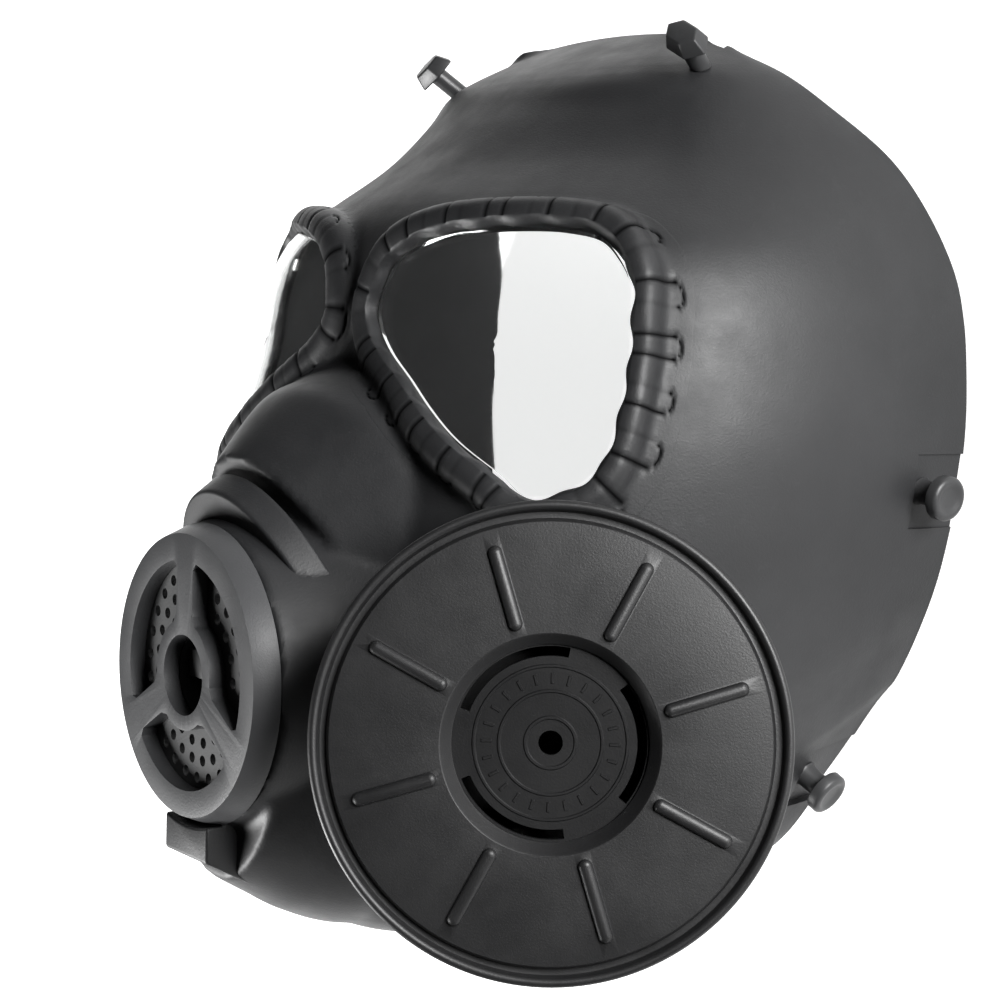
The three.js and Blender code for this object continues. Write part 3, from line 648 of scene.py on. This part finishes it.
def wrapped_frame(side, skin):
    points, normals, sideways = lens_path(side, FRAME_STEPS)
    length = np.linalg.norm(np.roll(points, -1, 0) - points, axis=1).sum()
    run = np.arange(FRAME_STEPS) / FRAME_STEPS * TONGUES + TONGUE_PHASE[side]
    off_tongue = np.abs(run - np.rint(run)) * length / TONGUES
    bulge = 0.5 - 0.5 * np.cos(2 * math.pi * run)
    lip = 0.0004 - BLOCK_BULGE * bulge
    outside = np.clip(side * sideways[:, 0], 0, 1)
    tongue_end = 0.0088 + 0.0047 * np.sqrt(outside)
    reach = np.clip(tongue_end + MARGIN, 0, WALK_STEP * WALK_COUNT)

    start = laid(points + sideways * 0.0007 + normals * 0.0032)
    heading = laid(sideways) - laid(np.zeros(3))
    walk = evened(walked(skin, start, heading, WALK_COUNT, WALK_STEP), 14, 4)
    travelled = np.arange(WALK_COUNT)[None, :] * WALK_STEP
    share = np.linspace(0, 1, WALK_COUNT)[None, :]
    place = share * reach[:, None] / WALK_STEP
    low = np.clip(np.floor(place).astype(int), 0, WALK_COUNT - 2)
    part = (place - low)[..., None]
    rows = np.arange(FRAME_STEPS)[:, None]
    top = walk[rows, low] * (1 - part) + walk[rows, low + 1] * part
    travelled = share * reach[:, None]
    settled = np.clip((travelled - tongue_end[:, None] + 0.001) / 0.002, 0, 1)
    for i, j in np.argwhere(settled > 0):
        found = np.array(skin.find_nearest(Vector(top[i, j]))[0])
        top[i, j] += (found - top[i, j]) * settled[i, j]

    around = np.roll(top, -1, 0) - np.roll(top, 1, 0)
    across = np.gradient(top, axis=1)
    facing = unit(np.cross(around, across)) * side
    straight = np.maximum(travelled - (tongue_end[:, None] - TONGUE_HALF), 0)
    groove = np.abs(np.hypot(off_tongue[:, None], straight) - TONGUE_HALF)
    line = np.exp(-(groove / GROOVE_HALF) ** 2)
    depth = GROOVE_DEPTH * line
    puff = 0.0001 * bulge[:, None] * np.clip(1 - travelled / 0.009, 0, 1)
    dip = 0.0005 * np.clip((travelled - (reach[:, None] - BORDER)) / BORDER, 0, 1) ** 2
    raised = top + facing * (PROUD + puff - depth - dip)[..., None]

    foot = laid(points + sideways * lip[:, None] + normals * 0.0004)
    corner = laid(points + sideways * lip[:, None] + normals * 0.0026)
    bend = np.linspace(0, 1, 9)[None, :-1, None]
    wall = (1 - bend) ** 2 * foot[:, None] + 2 * bend * (1 - bend) * corner[:, None] + bend**2 * raised[:, :1]
    under = top[:, ::-6] - facing[:, ::-6] * 0.0007
    sections = np.concatenate([wall, raised, under], 1)
    upright = np.stack([sections[..., 0] - SNOUT[0], SNOUT[2] - sections[..., 2], sections[..., 1] - SNOUT[1]], -1)
    name = "lens_frame_left" if side == 1 else "lens_frame_right"
    # The same groove lines are kept as painted shade for the finish, which darkens the grooves.
    painted_groove_shade = np.zeros(sections.shape[:2])
    painted_groove_shade[:, wall.shape[1]:wall.shape[1] + WALK_COUNT] = line
    return hoop(name, upright, painted_groove_shade), top[travelled < tongue_end[:, None] + 0.0002]


skin = skin_of(shell)
frames = {}
hidden = []
for side in (1, -1):
    frames[side], covered = wrapped_frame(side, skin)
    hidden.append(covered[::2])
    print(frames[side].name, triangles(frames[side]), "triangles")

# %% [markdown]
# Under the frames the skin is pressed in a little, so that only the frames show there. Then the
# shell is hollowed: the rim is trimmed along its own line, and the inside of the face, the snout,
# the mouth behind the grille, the canister's bore, the lens openings and the post seats are cut.

# %% Press the skin in under the frames
hidden = np.concatenate(hidden)
tree = KDTree(len(hidden))
for index, point in enumerate(hidden):
    tree.insert(point, index)
tree.balance()
skin_points = points_of(shell)
pressed = 0
for vertex in shell.data.vertices:
    place, index, distance = tree.find(vertex.co)
    if distance < 0.0007:
        skin_points[vertex.index] = vertex.co - vertex.normal * FRAME_SINK
        pressed += 1
move_points(shell, skin_points)
print("pressed in:", pressed, "vertices")

# %% Hollow the shell
def bevelled(piece, width, segments=3, degrees=30):
    return finish_modifier(piece, "BEVEL", width=width, segments=segments, limit_method="ANGLE",
                           angle_limit=math.radians(degrees), harden_normals=False)


MOUTH_RADIUS = 0.026
SEAT_HIGH = 0.0175
SEAT_DEEP = 0.001
STEM_RADIUS = 0.0028


def rim_trim():
    """Everything behind the rim's line, as a block right across the face."""
    along = np.linspace(0, 1, 120)
    back = face_value("rim_back", along) * FACE_DEPTH
    up = height_of(face_value("rim_up", along))
    ends = face_point(np.array([0.0, 0.0]), np.array([0.0, 1.0]))
    rim_ends = np.array([[back[0], up[0]], [back[-1], up[-1]]])
    beyond = ends[:, 1:] + (ends[:, 1:] - rim_ends)
    line = np.concatenate([beyond[:1], ends[:1, 1:], np.stack([back, up], -1), ends[1:, 1:], beyond[1:]])
    side, far = 0.15, 0.3
    return loft("rim_trim", [[(-side, y, z), (side, y, z), (side, far, z), (-side, far, z)] for y, z in line])


def lens_sheet(name, side, grow, high, low, steps=160, shares=(0.1, 0.55)):
    """Sheet that follows the face inside the lens path, between two heights over it."""
    points, normals, sideways = lens_path(side, steps)
    edge = points + sideways * grow
    centre = points.mean(0)

    def ring(share, height):
        flat = centre + (edge - centre) * share
        spots, facing = face_at(flat[:, 0], flat[:, 2])
        return spots + facing * height

    tops = [ring(share, high) for share in shares]
    bottoms = [ring(share, low) for share in shares][::-1]
    return loft(name, [*tops, edge + normals * high, edge + normals * low, *bottoms])


POSTS = [
    ("top", 0.94, 0.63, 0.65, True),
    ("upper", 0.432, 0.975, 0, False),
    ("lower", 0.137, 0.92, 0, False),
]


def post_spot(along, across, tip, side):
    place = face_point(np.array(side * across), np.array(along))
    normal = face_normal(np.array(side * across), np.array(along))
    return place, normal, unit(normal - np.array([0, tip, 0]))


def seat(along, across, tip, side):
    place, normal, axis = post_spot(along, across, tip, side)
    long = FACE_DEPTH / 4
    bpy.ops.object.select_all(action="DESELECT")
    bpy.ops.mesh.primitive_cube_add(size=1)
    box = named("seat")
    scale = np.array([SEAT_HIGH, long, long])
    shift = np.array([0, long / 2 - STEM_RADIUS - GAP, long / 2 - SEAT_DEEP])
    move_points(box, points_of(box) * scale + shift)
    return put(box, laid_pose(place, normal, (0, 1, 0)))


cuts = [rim_trim(), face_block("inside", WALL, RUN_ON, 64, 48)]
cuts += [snout_form("snout_hollow", rows, WALL + 0.001, 12, 64) for rows in (TUBE_RINGS, CHIN_RINGS, RIDGE_RINGS)]
cuts.append(put(cylinder("mouth", MOUTH_RADIUS, -2 * STEP_TWO_FRONT, 0.001, 96), snout_pose))
cuts.append(put(cylinder("bore", NECK_RADIUS + GAP, -CAN_BACK - 2 * PORT_DEPTH, -CAN_BACK + GAP, 96), can_pose))
for side in (1, -1):
    cuts.append(lens_sheet("lens_opening", side, 0.0006, 3 * WALL, -2 * WALL))
    cuts += [seat(along, across, tip, side) for label, along, across, tip, studded in POSTS if not studded]
collar = snout_form("collar", COLLAR_RINGS, 0, 6, 160)
for step in (bevelled(collar, 0.0007, 3, 50), bevelled(block, 0.0007, 3, 50)):
    combine(shell, step, "UNION")
for cut in cuts:
    combine(shell, cut, "DIFFERENCE")
smooth(shell, 40)
print("hollow shell:", triangles(shell), "triangles")

# %% [markdown]
# The finishes are made before the last pieces, so that each piece gets its own as it is made. The
# moulded rubber and plastic share one recipe: a fine grain as bump, a mottled sheen, a trace of
# lighter wear, a few specks of dust, and painted shade that darkens the frames' engraved grooves.
# Only the colour, the sheen and the grain size differ.

# %% Finishes
def node_of(tree, kind, **settings):
    node = tree.nodes.new(kind)
    for setting, value in settings.items():
        setattr(node, setting, value)
    return node


def noise(tree, where, scale, detail, roughness=0.5):
    texture = node_of(tree, "ShaderNodeTexNoise")
    texture.inputs["Scale"].default_value = scale
    texture.inputs["Detail"].default_value = detail
    texture.inputs["Roughness"].default_value = roughness
    tree.links.new(where, texture.inputs["Vector"])
    return texture.outputs["Fac"]


def spread(tree, value, low, high, to_low, to_high):
    ramp = node_of(tree, "ShaderNodeMapRange")
    for socket, number in zip(("From Min", "From Max", "To Min", "To Max"), (low, high, to_low, to_high)):
        ramp.inputs[socket].default_value = number
    tree.links.new(value, ramp.inputs["Value"])
    return ramp.outputs["Result"]


def mixed(tree, share, first, second):
    mix = node_of(tree, "ShaderNodeMix", data_type="RGBA")
    tree.links.new(share, mix.inputs["Factor"])
    for socket, colour in ((mix.inputs[6], first), (mix.inputs[7], second)):
        if isinstance(colour, tuple):
            socket.default_value = colour
        else:
            tree.links.new(colour, socket)
    return mix.outputs[2]


def moulded(name, colour, worn, sheen, grain_scale, grain_depth, shine=0.3, dust=0.93):
    """Moulded rubber or plastic with grain, mottled sheen, wear, dust and painted shade in engraved grooves."""
    material = bpy.data.materials.new(name)
    material.use_nodes = True
    tree = material.node_tree
    surface = tree.nodes["Principled BSDF"]
    where = node_of(tree, "ShaderNodeTexCoord").outputs["Object"]
    patches = spread(tree, noise(tree, where, 22, 4, 0.6), 0.38, 0.68, 0, 1)
    scuffs = spread(tree, noise(tree, where, 150, 6, 0.75), 0.6, 0.72, 0, 0.35)
    body = mixed(tree, patches, (*colour, 1), (*worn, 1))
    scuffed = mixed(tree, scuffs, body, tuple(min(1, 1.6 * value) for value in worn) + (1,))

    cells = node_of(tree, "ShaderNodeTexVoronoi")
    cells.inputs["Scale"].default_value = 95
    tree.links.new(where, cells.inputs["Vector"])
    specks = spread(tree, cells.outputs["Distance"], 0.016, 0.024, 1, 0)
    chosen = node_of(tree, "ShaderNodeMath", operation="GREATER_THAN")
    tree.links.new(cells.outputs["Color"], chosen.inputs[0])
    chosen.inputs[1].default_value = dust
    shown = node_of(tree, "ShaderNodeMath", operation="MULTIPLY")
    tree.links.new(specks, shown.inputs[0])
    tree.links.new(chosen.outputs[0], shown.inputs[1])
    dusty = mixed(tree, shown.outputs[0], scuffed, (0.3, 0.3, 0.29, 1))
    # Painted shade: where the groove attribute is set, the colour goes near black and the specular sheen is taken
    # away, so the engraved grooves read dark under any light.
    groove_shade_factor = node_of(tree, "ShaderNodeAttribute", attribute_name="groove").outputs["Fac"]
    tree.links.new(mixed(tree, groove_shade_factor, dusty, (0.001, 0.001, 0.001, 1)), surface.inputs["Base Color"])
    tree.links.new(spread(tree, groove_shade_factor, 0, 0.8, shine, 0), surface.inputs["Specular IOR Level"])

    rough = spread(tree, noise(tree, where, 60, 5, 0.65), 0.3, 0.7, sheen - 0.06, sheen + 0.08)
    tree.links.new(rough, surface.inputs["Roughness"])
    grain = node_of(tree, "ShaderNodeBump")
    grain.inputs["Strength"].default_value = 0.5
    grain.inputs["Distance"].default_value = grain_depth
    tree.links.new(noise(tree, where, grain_scale, 3, 0.6), grain.inputs["Height"])
    tree.links.new(grain.outputs["Normal"], surface.inputs["Normal"])
    return material


SHELL_RUBBER = moulded("shell_rubber", (0.009, 0.0092, 0.0098), (0.013, 0.0132, 0.014), 0.5, 1700, 0.0001)
GRILLE_PLASTIC = moulded("grille_plastic", (0.03, 0.0305, 0.032), (0.04, 0.0405, 0.042), 0.46, 2100, 0.0001)
PLATE_PLASTIC = moulded("plate_plastic", (0.036, 0.0365, 0.037), (0.048, 0.0485, 0.049), 0.5, 1900, 0.0001)
CAN_PLASTIC = moulded("canister_plastic", (0.007, 0.007, 0.0073), (0.01, 0.01, 0.0103), 0.42, 2300, 0.00008)
HUB_PLASTIC = moulded("hub_plastic", (0.004, 0.004, 0.0042), (0.006, 0.006, 0.0062), 0.46, 2300, 0.00007, 0.15)
POST_PLASTIC = moulded("post_plastic", (0.018, 0.0183, 0.019), (0.026, 0.0263, 0.027), 0.4, 1900, 0.00005)

LENS_PLASTIC = bpy.data.materials.new("lens_plastic")
LENS_PLASTIC.use_nodes = True
lens_tree = LENS_PLASTIC.node_tree
lens_surface = lens_tree.nodes["Principled BSDF"]
lens_where = node_of(lens_tree, "ShaderNodeTexCoord").outputs["Object"]
lens_haze = spread(lens_tree, noise(lens_tree, lens_where, 45, 4), 0.35, 0.75, 0.015, 0.05)
lens_tree.links.new(lens_haze, lens_surface.inputs["Roughness"])
lens_surface.inputs["Base Color"].default_value = (0.97, 0.98, 0.975, 1)
lens_surface.inputs["Transmission Weight"].default_value = 1
lens_surface.inputs["IOR"].default_value = 1.49
print("finishes:", len(bpy.data.materials))


def finish(piece, material, slot, *nodes):
    """Gives a piece its finish, hangs it under the root body and hides the CAD nodes it stands for."""
    piece.data.materials.clear()
    piece.data.materials.append(material)
    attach(piece, "root")
    if nodes:
        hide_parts(*nodes)
    return piece


# %% [markdown]
# The shell stands for its CAD node, and the frames lie on it in the same rubber. The lenses are
# thin sheets of clear plastic that follow the face; their edges sit inside the frames.

# %% Shell and frames
finish(shell, SHELL_RUBBER, "shell", "mask_shell")
for side in (1, -1):
    finish(smooth(frames[side], 60), SHELL_RUBBER, "shell")
print("shell:", triangles(shell), "triangles")

# %% Lenses
LENS_PLAY = 0.0005
LENS_THICK = 0.002
LENS_SINK = 0.0018
for label, side in (("left", 1), ("right", -1)):
    shares = (0.04, 0.15, 0.3, 0.45, 0.6, 0.75, 0.9)
    lens = lens_sheet(f"lens_{label}_fine", side, -LENS_PLAY, LENS_THICK - LENS_SINK, -LENS_SINK, 200, shares)
    smooth(lens, 40)
    finish(lens, LENS_PLASTIC, "lens", f"lens_{label}")
    print(lens.name, triangles(lens), "triangles")

# %% [markdown]
# The canister is a turned part, so it comes from one profile of radius and height. Its corners are
# bevelled, its groove and rolled rim are in the profile, and eight rounded ribs lie on its face.

# %% Canister body
CAN_RADIUS = 0.050
CAN_SIDE = 0.012
BACK_CHAMFER = 0.0035
CAN_WALL = 0.002
FACE_RISE = 0.0022
FACE_EDGE = 0.0459
ROLL_WIDTH = 0.0021
ROLL_HEIGHT = 0.0002
GROOVE_DROP = 0.0016
GROOVE_DRAFT = 0.0004
HUB_OUTER = 0.0228
HUB_INNER = 0.0204
HUB_DEPTH = 0.002
HUB_LIP = 0.0006
HUB_POCKET = 0.0244
HUB_THICK = 0.0016
NECK_LENGTH = 0.008
RIB_COUNT = 8
RIB_START = 0.0242
RIB_END = 0.0422
RIB_WIDTH = 0.003
RIB_HEIGHT = 0.0015
RIB_TURN = math.radians(-18)


def roll_profile(steps=9):
    """Half round that rolls over the canister's rim, from the groove to the side."""
    turn = np.linspace(math.pi, 0, steps)
    middle = CAN_RADIUS - ROLL_WIDTH / 2
    return [(middle + ROLL_WIDTH / 2 * math.cos(t), ROLL_HEIGHT - ROLL_WIDTH / 2 * (1 - math.sin(t))) for t in turn]


def canister_profile():
    groove_outer = CAN_RADIUS - ROLL_WIDTH
    inner = CAN_RADIUS - CAN_WALL
    back_edge = NECK_RADIUS + PORT_WALL
    return [
        (HUB_OUTER, FACE_RISE), (FACE_EDGE - 0.0004, 0.00005), (FACE_EDGE, -0.0003),
        (FACE_EDGE + GROOVE_DRAFT, -GROOVE_DROP), (groove_outer - GROOVE_DRAFT, -GROOVE_DROP), *roll_profile(),
        (CAN_RADIUS, -CAN_SIDE), (CAN_RADIUS - BACK_CHAMFER, -CAN_SIDE - BACK_CHAMFER),
        (back_edge, -CAN_BACK), (NECK_RADIUS, -CAN_BACK), (NECK_RADIUS, -CAN_BACK - NECK_LENGTH),
        (NECK_RADIUS - CAN_WALL, -CAN_BACK - NECK_LENGTH), (NECK_RADIUS - CAN_WALL, -CAN_BACK), (0, -CAN_BACK),
        (0, -CAN_BACK + CAN_WALL), (back_edge, -CAN_BACK + CAN_WALL), (inner - BACK_CHAMFER, -CAN_SIDE - BACK_CHAMFER + CAN_WALL / 2),
        (inner, -CAN_SIDE + CAN_WALL / 2), (inner, -GROOVE_DROP - CAN_WALL),
        (FACE_EDGE - CAN_WALL / 2, -GROOVE_DROP - CAN_WALL), (FACE_EDGE - CAN_WALL, -CAN_WALL),
        (HUB_POCKET, FACE_RISE - CAN_WALL), (HUB_POCKET, -HUB_DEPTH), (HUB_INNER, -HUB_DEPTH),
        (HUB_INNER, -HUB_DEPTH + HUB_LIP), (HUB_INNER + 0.0003, -HUB_DEPTH + HUB_LIP + 0.0002),
        (HUB_OUTER - 0.0004, FACE_RISE - 0.0003), (HUB_OUTER, FACE_RISE),
    ]


def rib(turn):
    """Rounded rib: a sphere drawn out into a bar with round ends, laid on the cone of the face."""
    bpy.ops.object.select_all(action="DESELECT")
    bpy.ops.mesh.primitive_uv_sphere_add(segments=48, ring_count=24, radius=1)
    bar = named("rib")
    ball = points_of(bar)
    half = RIB_WIDTH / 2
    stretch = (RIB_END - RIB_START) / 2 - half
    slope = math.atan2(FACE_RISE, FACE_EDGE - HUB_OUTER)
    along = ball[:, 1] * half + np.sign(np.round(ball[:, 1], 5)) * stretch + (RIB_START + RIB_END) / 2
    level = FACE_RISE - (along - HUB_OUTER) * math.tan(slope)
    height = np.sign(ball[:, 2]) * np.abs(ball[:, 2]) ** 0.75
    points = np.stack([ball[:, 0] * half, along, level + height * np.where(ball[:, 2] > 0, RIB_HEIGHT, CAN_WALL / 2)], -1)
    turned_points = points @ np.array(Matrix.Rotation(-turn, 3, "Z")).T
    move_points(bar, turned_points)
    return outward(bar)


canister = turned("canister_body_fine", canister_profile(), 160)
for k in range(RIB_COUNT):
    combine(canister, rib(RIB_TURN + 2 * math.pi * k / RIB_COUNT), "UNION")
bevelled(canister, 0.0002, 2, 40)
smooth(put(canister, can_pose), 35)
finish(canister, CAN_PLASTIC, "canister", "canister_body")
print("canister:", triangles(canister), "triangles")

# %% [markdown]
# The hub plate has three long slots round its edge and a hole in the middle. Its decoration is a
# plain one of thin raised rings and short radial ticks.

# %% Canister hub
HUB_HOLE = 0.0025
SLOT_INNER = 0.0179
SLOT_OUTER = 0.0199
HUB_SLOTS = [(289, 370), (51, 127), (170, 246)]
TICKS = 24


def sector(name, inner, outer, start, end, low, high, steps=24, end_radius=0.0):
    """Closed ring sector between two clockwise angles: a grid bent round into the sector and extruded."""
    bpy.ops.object.select_all(action="DESELECT")
    bpy.ops.mesh.primitive_grid_add(x_subdivisions=steps, y_subdivisions=1, size=2)
    piece = named(name)
    flat = points_of(piece)
    turn = math.pi / 2 - (start + (end - start) * (flat[:, 0] + 1) / 2)
    radius = inner + (outer - inner) * (flat[:, 1] + 1) / 2
    move_points(piece, np.stack([radius * np.cos(turn), radius * np.sin(turn), np.full(len(flat), low)], -1))
    bpy.ops.object.mode_set(mode="EDIT")
    bpy.ops.mesh.select_all(action="SELECT")
    bpy.ops.mesh.extrude_region_move(TRANSFORM_OT_translate={"value": (0, 0, high - low)})
    bpy.ops.object.mode_set(mode="OBJECT")
    return outward(piece)


hub_top = -HUB_DEPTH - GAP
ring_high = 0.00025
hub = turned("canister_hub_fine", [
    (0, hub_top - HUB_THICK), (0, hub_top), (0.0048, hub_top), (0.0049, hub_top + ring_high), (0.0055, hub_top + ring_high),
    (0.0056, hub_top), (0.0103, hub_top), (0.0104, hub_top + ring_high), (0.0109, hub_top + ring_high), (0.011, hub_top),
    (0.0155, hub_top), (0.0156, hub_top + ring_high), (0.0161, hub_top + ring_high), (0.0162, hub_top),
    (HUB_POCKET - GAP, hub_top), (HUB_POCKET - GAP, hub_top - HUB_THICK), (0, hub_top - HUB_THICK),
], 128)
for k in range(TICKS):
    turn = 2 * math.pi * k / TICKS
    tick = sector("tick", 0.0122, 0.0143, turn - 0.022, turn + 0.022, hub_top - 0.0003, hub_top + ring_high, 2)
    combine(hub, tick, "UNION")
for start, end in HUB_SLOTS:
    slot = sector("slot", SLOT_INNER, SLOT_OUTER, math.radians(start), math.radians(end),
                  hub_top - 2 * HUB_THICK, hub_top + HUB_THICK)
    combine(hub, slot, "DIFFERENCE")
combine(hub, cylinder("hub_hole", HUB_HOLE, hub_top - 2 * HUB_THICK, hub_top + HUB_THICK, 48), "DIFFERENCE")
bevelled(hub, 0.00012, 1, 40)
smooth(put(hub, can_pose), 30)
finish(hub, HUB_PLASTIC, "canister", "canister_hub")
print("hub:", triangles(hub), "triangles")

# %% [markdown]
# The grille cap is turned with its skirt, then three windows and the middle hole are cut through
# and every edge is rounded. The plate behind it has its round holes set out in rows.

# %% Grille cap
FACE_THICK = 0.0039
SKIRT_WALL = 0.0046
WINDOW_OUTER = 0.0265
WINDOW_INNER = 0.0127
SPOKE_WIDTH = 0.0075
SPOKES = 3
CENTRE_HOLE = 0.0093
PLATE_THICK = 0.0015


def window(turn, steps=40):
    """Cutter of one window: a grid bent between two spokes, with straight sides along them."""
    bpy.ops.object.select_all(action="DESELECT")
    bpy.ops.mesh.primitive_grid_add(x_subdivisions=steps, y_subdivisions=8, size=2)
    cutter = named("window")
    flat = points_of(cutter)
    radius = WINDOW_INNER + (WINDOW_OUTER - WINDOW_INNER) * (flat[:, 1] + 1) / 2
    corner = np.minimum(radius - WINDOW_INNER, WINDOW_OUTER - radius)
    inset = 0.0014 * np.clip(1 - corner / 0.0022, 0, 1) ** 2
    side = np.arcsin((SPOKE_WIDTH / 2 + inset) / radius)
    low = math.pi / 2 + side
    high = math.pi / 2 + 2 * math.pi / SPOKES - side
    angle = low + (high - low) * (flat[:, 0] + 1) / 2 + turn
    points = np.stack([radius * np.cos(angle), radius * np.sin(angle), np.full(len(flat), -3 * FACE_THICK)], -1)
    move_points(cutter, points)
    bpy.ops.object.mode_set(mode="EDIT")
    bpy.ops.mesh.select_all(action="SELECT")
    bpy.ops.mesh.extrude_region_move(TRANSFORM_OT_translate={"value": (0, 0, 6 * FACE_THICK)})
    bpy.ops.object.mode_set(mode="OBJECT")
    return outward(cutter)


back_radius = CAP_RADIUS + CAP_FLARE
cap = turned("grille_cap_fine", [
    (0, 0), (CAP_RADIUS, 0), (back_radius, -CAP_BACK), (back_radius - SKIRT_WALL, -CAP_BACK),
    (back_radius - SKIRT_WALL, -FACE_THICK), (0, -FACE_THICK),
], 160)
for k in range(SPOKES):
    combine(cap, window(2 * math.pi * k / SPOKES), "DIFFERENCE")
combine(cap, cylinder("centre_hole", CENTRE_HOLE, -2 * FACE_THICK, FACE_THICK, 96), "DIFFERENCE")
bevelled(cap, 0.0005, 3, 40)
smooth(put(cap, snout_pose), 35)
finish(cap, GRILLE_PLASTIC, "grille", "grille_cap")
print("grille cap:", triangles(cap), "triangles")

# %% Grille plate
PLATE_HOLE = 0.0013
PLATE_ROWS = 3
PLATE_ROW_STEP = 0.0041
PLATE_HOLE_STEP = 0.0055
PLATE_MARGIN = 0.0019


def plate_spots():
    spots = []
    for row in range(PLATE_ROWS):
        radius = WINDOW_INNER + PLATE_MARGIN + PLATE_HOLE + row * PLATE_ROW_STEP
        room = 2 * math.pi / SPOKES - 2 * math.asin((SPOKE_WIDTH / 2 + PLATE_MARGIN) / radius)
        count = max(1, round(room * radius / PLATE_HOLE_STEP))
        for k in range(count):
            angle = math.pi / 2 + math.pi / SPOKES + room * ((k + 0.5) / count - 0.5)
            spots += [(radius, angle + 2 * math.pi * spoke / SPOKES) for spoke in range(SPOKES)]
    return spots


CUP_DEEP = 0.0075
CUP_WALL = 0.0012
VALVE_STOP = (0.007, 0.0067, 0.0065)


def valve_cup():
    """Closed cup behind the middle hole, with the square valve stop that shows in it."""
    high = plate_top - PLATE_THICK / 2
    low = plate_top - PLATE_THICK - CUP_DEEP
    cup = turned("valve_cup", [
        (CENTRE_HOLE + CUP_WALL, high), (CENTRE_HOLE + CUP_WALL, low), (0, low), (0, low + CUP_WALL),
        (CENTRE_HOLE, low + CUP_WALL), (CENTRE_HOLE, high), (CENTRE_HOLE + CUP_WALL, high),
    ], 96)
    bpy.ops.object.select_all(action="DESELECT")
    bpy.ops.mesh.primitive_cube_add(size=1)
    stop = named("valve_stop")
    shift = np.array([-0.0046, 0.0016, low + CUP_WALL + VALVE_STOP[2] / 2 - 0.0003])
    move_points(stop, points_of(stop) * np.array(VALVE_STOP) + shift)
    return combine(cup, bevelled(stop, 0.0005, 2, 40), "UNION")


plate_top = -FACE_THICK - GAP
plate_radius = back_radius - SKIRT_WALL - GAP
plate = cylinder("grille_plate_fine", plate_radius, plate_top - PLATE_THICK, plate_top, 128)
middle = cylinder("plate_middle", CENTRE_HOLE, plate_top - 2 * PLATE_THICK, plate_top + PLATE_THICK, 96)
combine(plate, middle, "DIFFERENCE")
for radius, angle in plate_spots():
    drill = cylinder("drill", PLATE_HOLE, plate_top - 2 * PLATE_THICK, plate_top + PLATE_THICK, 20)
    move_points(drill, points_of(drill) + np.array([radius * math.cos(angle), radius * math.sin(angle), 0]))
    combine(plate, drill, "DIFFERENCE")
combine(plate, valve_cup(), "UNION")
bevelled(plate, 0.00012, 1, 40)
smooth(put(plate, snout_pose), 30)
finish(plate, PLATE_PLASTIC, "grille", "grille_plate")
print("grille plate:", triangles(plate), "triangles")

# %% [markdown]
# Four strap posts are round buttons with dished faces; the two at the brow are thinner stems with
# faceted heads. The shallow recess in one end of each head is left out.

# %% Strap posts
BUTTON_RADIUS = 0.0052
BUTTON_THICK = 0.0032
POST_LENGTH = 0.009
STUD_STEM = 0.0024
STUD_LENGTH = 0.012
STUD_HEAD = 0.0046
STUD_LONG = 0.0074
STUD_DEEP = 0.004
STUD_TAPER = 0.72


def button(name):
    foot = GAP - SEAT_DEEP
    top = foot + POST_LENGTH
    under = top - BUTTON_THICK
    post = turned(name, [
        (0, foot), (STEM_RADIUS + 0.0004, foot), (STEM_RADIUS, foot + 0.0008), (STEM_RADIUS, under - 0.0005),
        (STEM_RADIUS + 0.0005, under), (BUTTON_RADIUS - 0.0003, under), (BUTTON_RADIUS, under + 0.0003),
        (BUTTON_RADIUS, top - 0.0009), (BUTTON_RADIUS - 0.0003, top - 0.0004), (BUTTON_RADIUS - 0.0008, top - 0.0001),
        (BUTTON_RADIUS - 0.0012, top), (BUTTON_RADIUS - 0.0017, top - 0.0001), (BUTTON_RADIUS - 0.0024, top - 0.0005),
        (BUTTON_RADIUS - 0.0034, top - 0.0007), (0, top - 0.0008), (0, foot),
    ], 64)
    return post


def stud(name, pose):
    """Thin stem with a faceted head; its foot is cut to the face."""
    stem = cylinder(name, STUD_STEM, -STUD_LENGTH, STUD_LENGTH - STUD_DEEP / 2, 48)
    bpy.ops.object.select_all(action="DESELECT")
    bpy.ops.mesh.primitive_cone_add(vertices=6, radius1=STUD_HEAD, radius2=STUD_HEAD * STUD_TAPER, depth=STUD_DEEP)
    head = named("stud_head")
    corners = points_of(head) @ np.array(Matrix.Rotation(math.radians(30), 3, "Z")).T
    corners[:, 0] *= STUD_LONG / STUD_HEAD
    corners[:, 2] += STUD_LENGTH - STUD_DEEP / 2
    move_points(head, corners)
    bevelled(head, 0.0005, 3, 20)
    combine(stem, head, "UNION")
    put(stem, pose)
    return combine(stem, face_block("face_below", -GAP, 0, 96, 72), "DIFFERENCE")


for along_name, along, across, tip, studded in POSTS:
    for label, side in (("left", 1), ("right", -1)):
        place, normal, axis = post_spot(along, across, tip, side)
        pose = laid_pose(place, axis, (0, 1, 0))
        node = f"strap_post_{along_name}_{label}"
        post = stud(f"{node}_fine", pose) if studded else put(button(f"{node}_fine"), pose)
        smooth(post, 35)
        finish(post, POST_PLASTIC, "post", node)
print("posts:", 2 * len(POSTS))
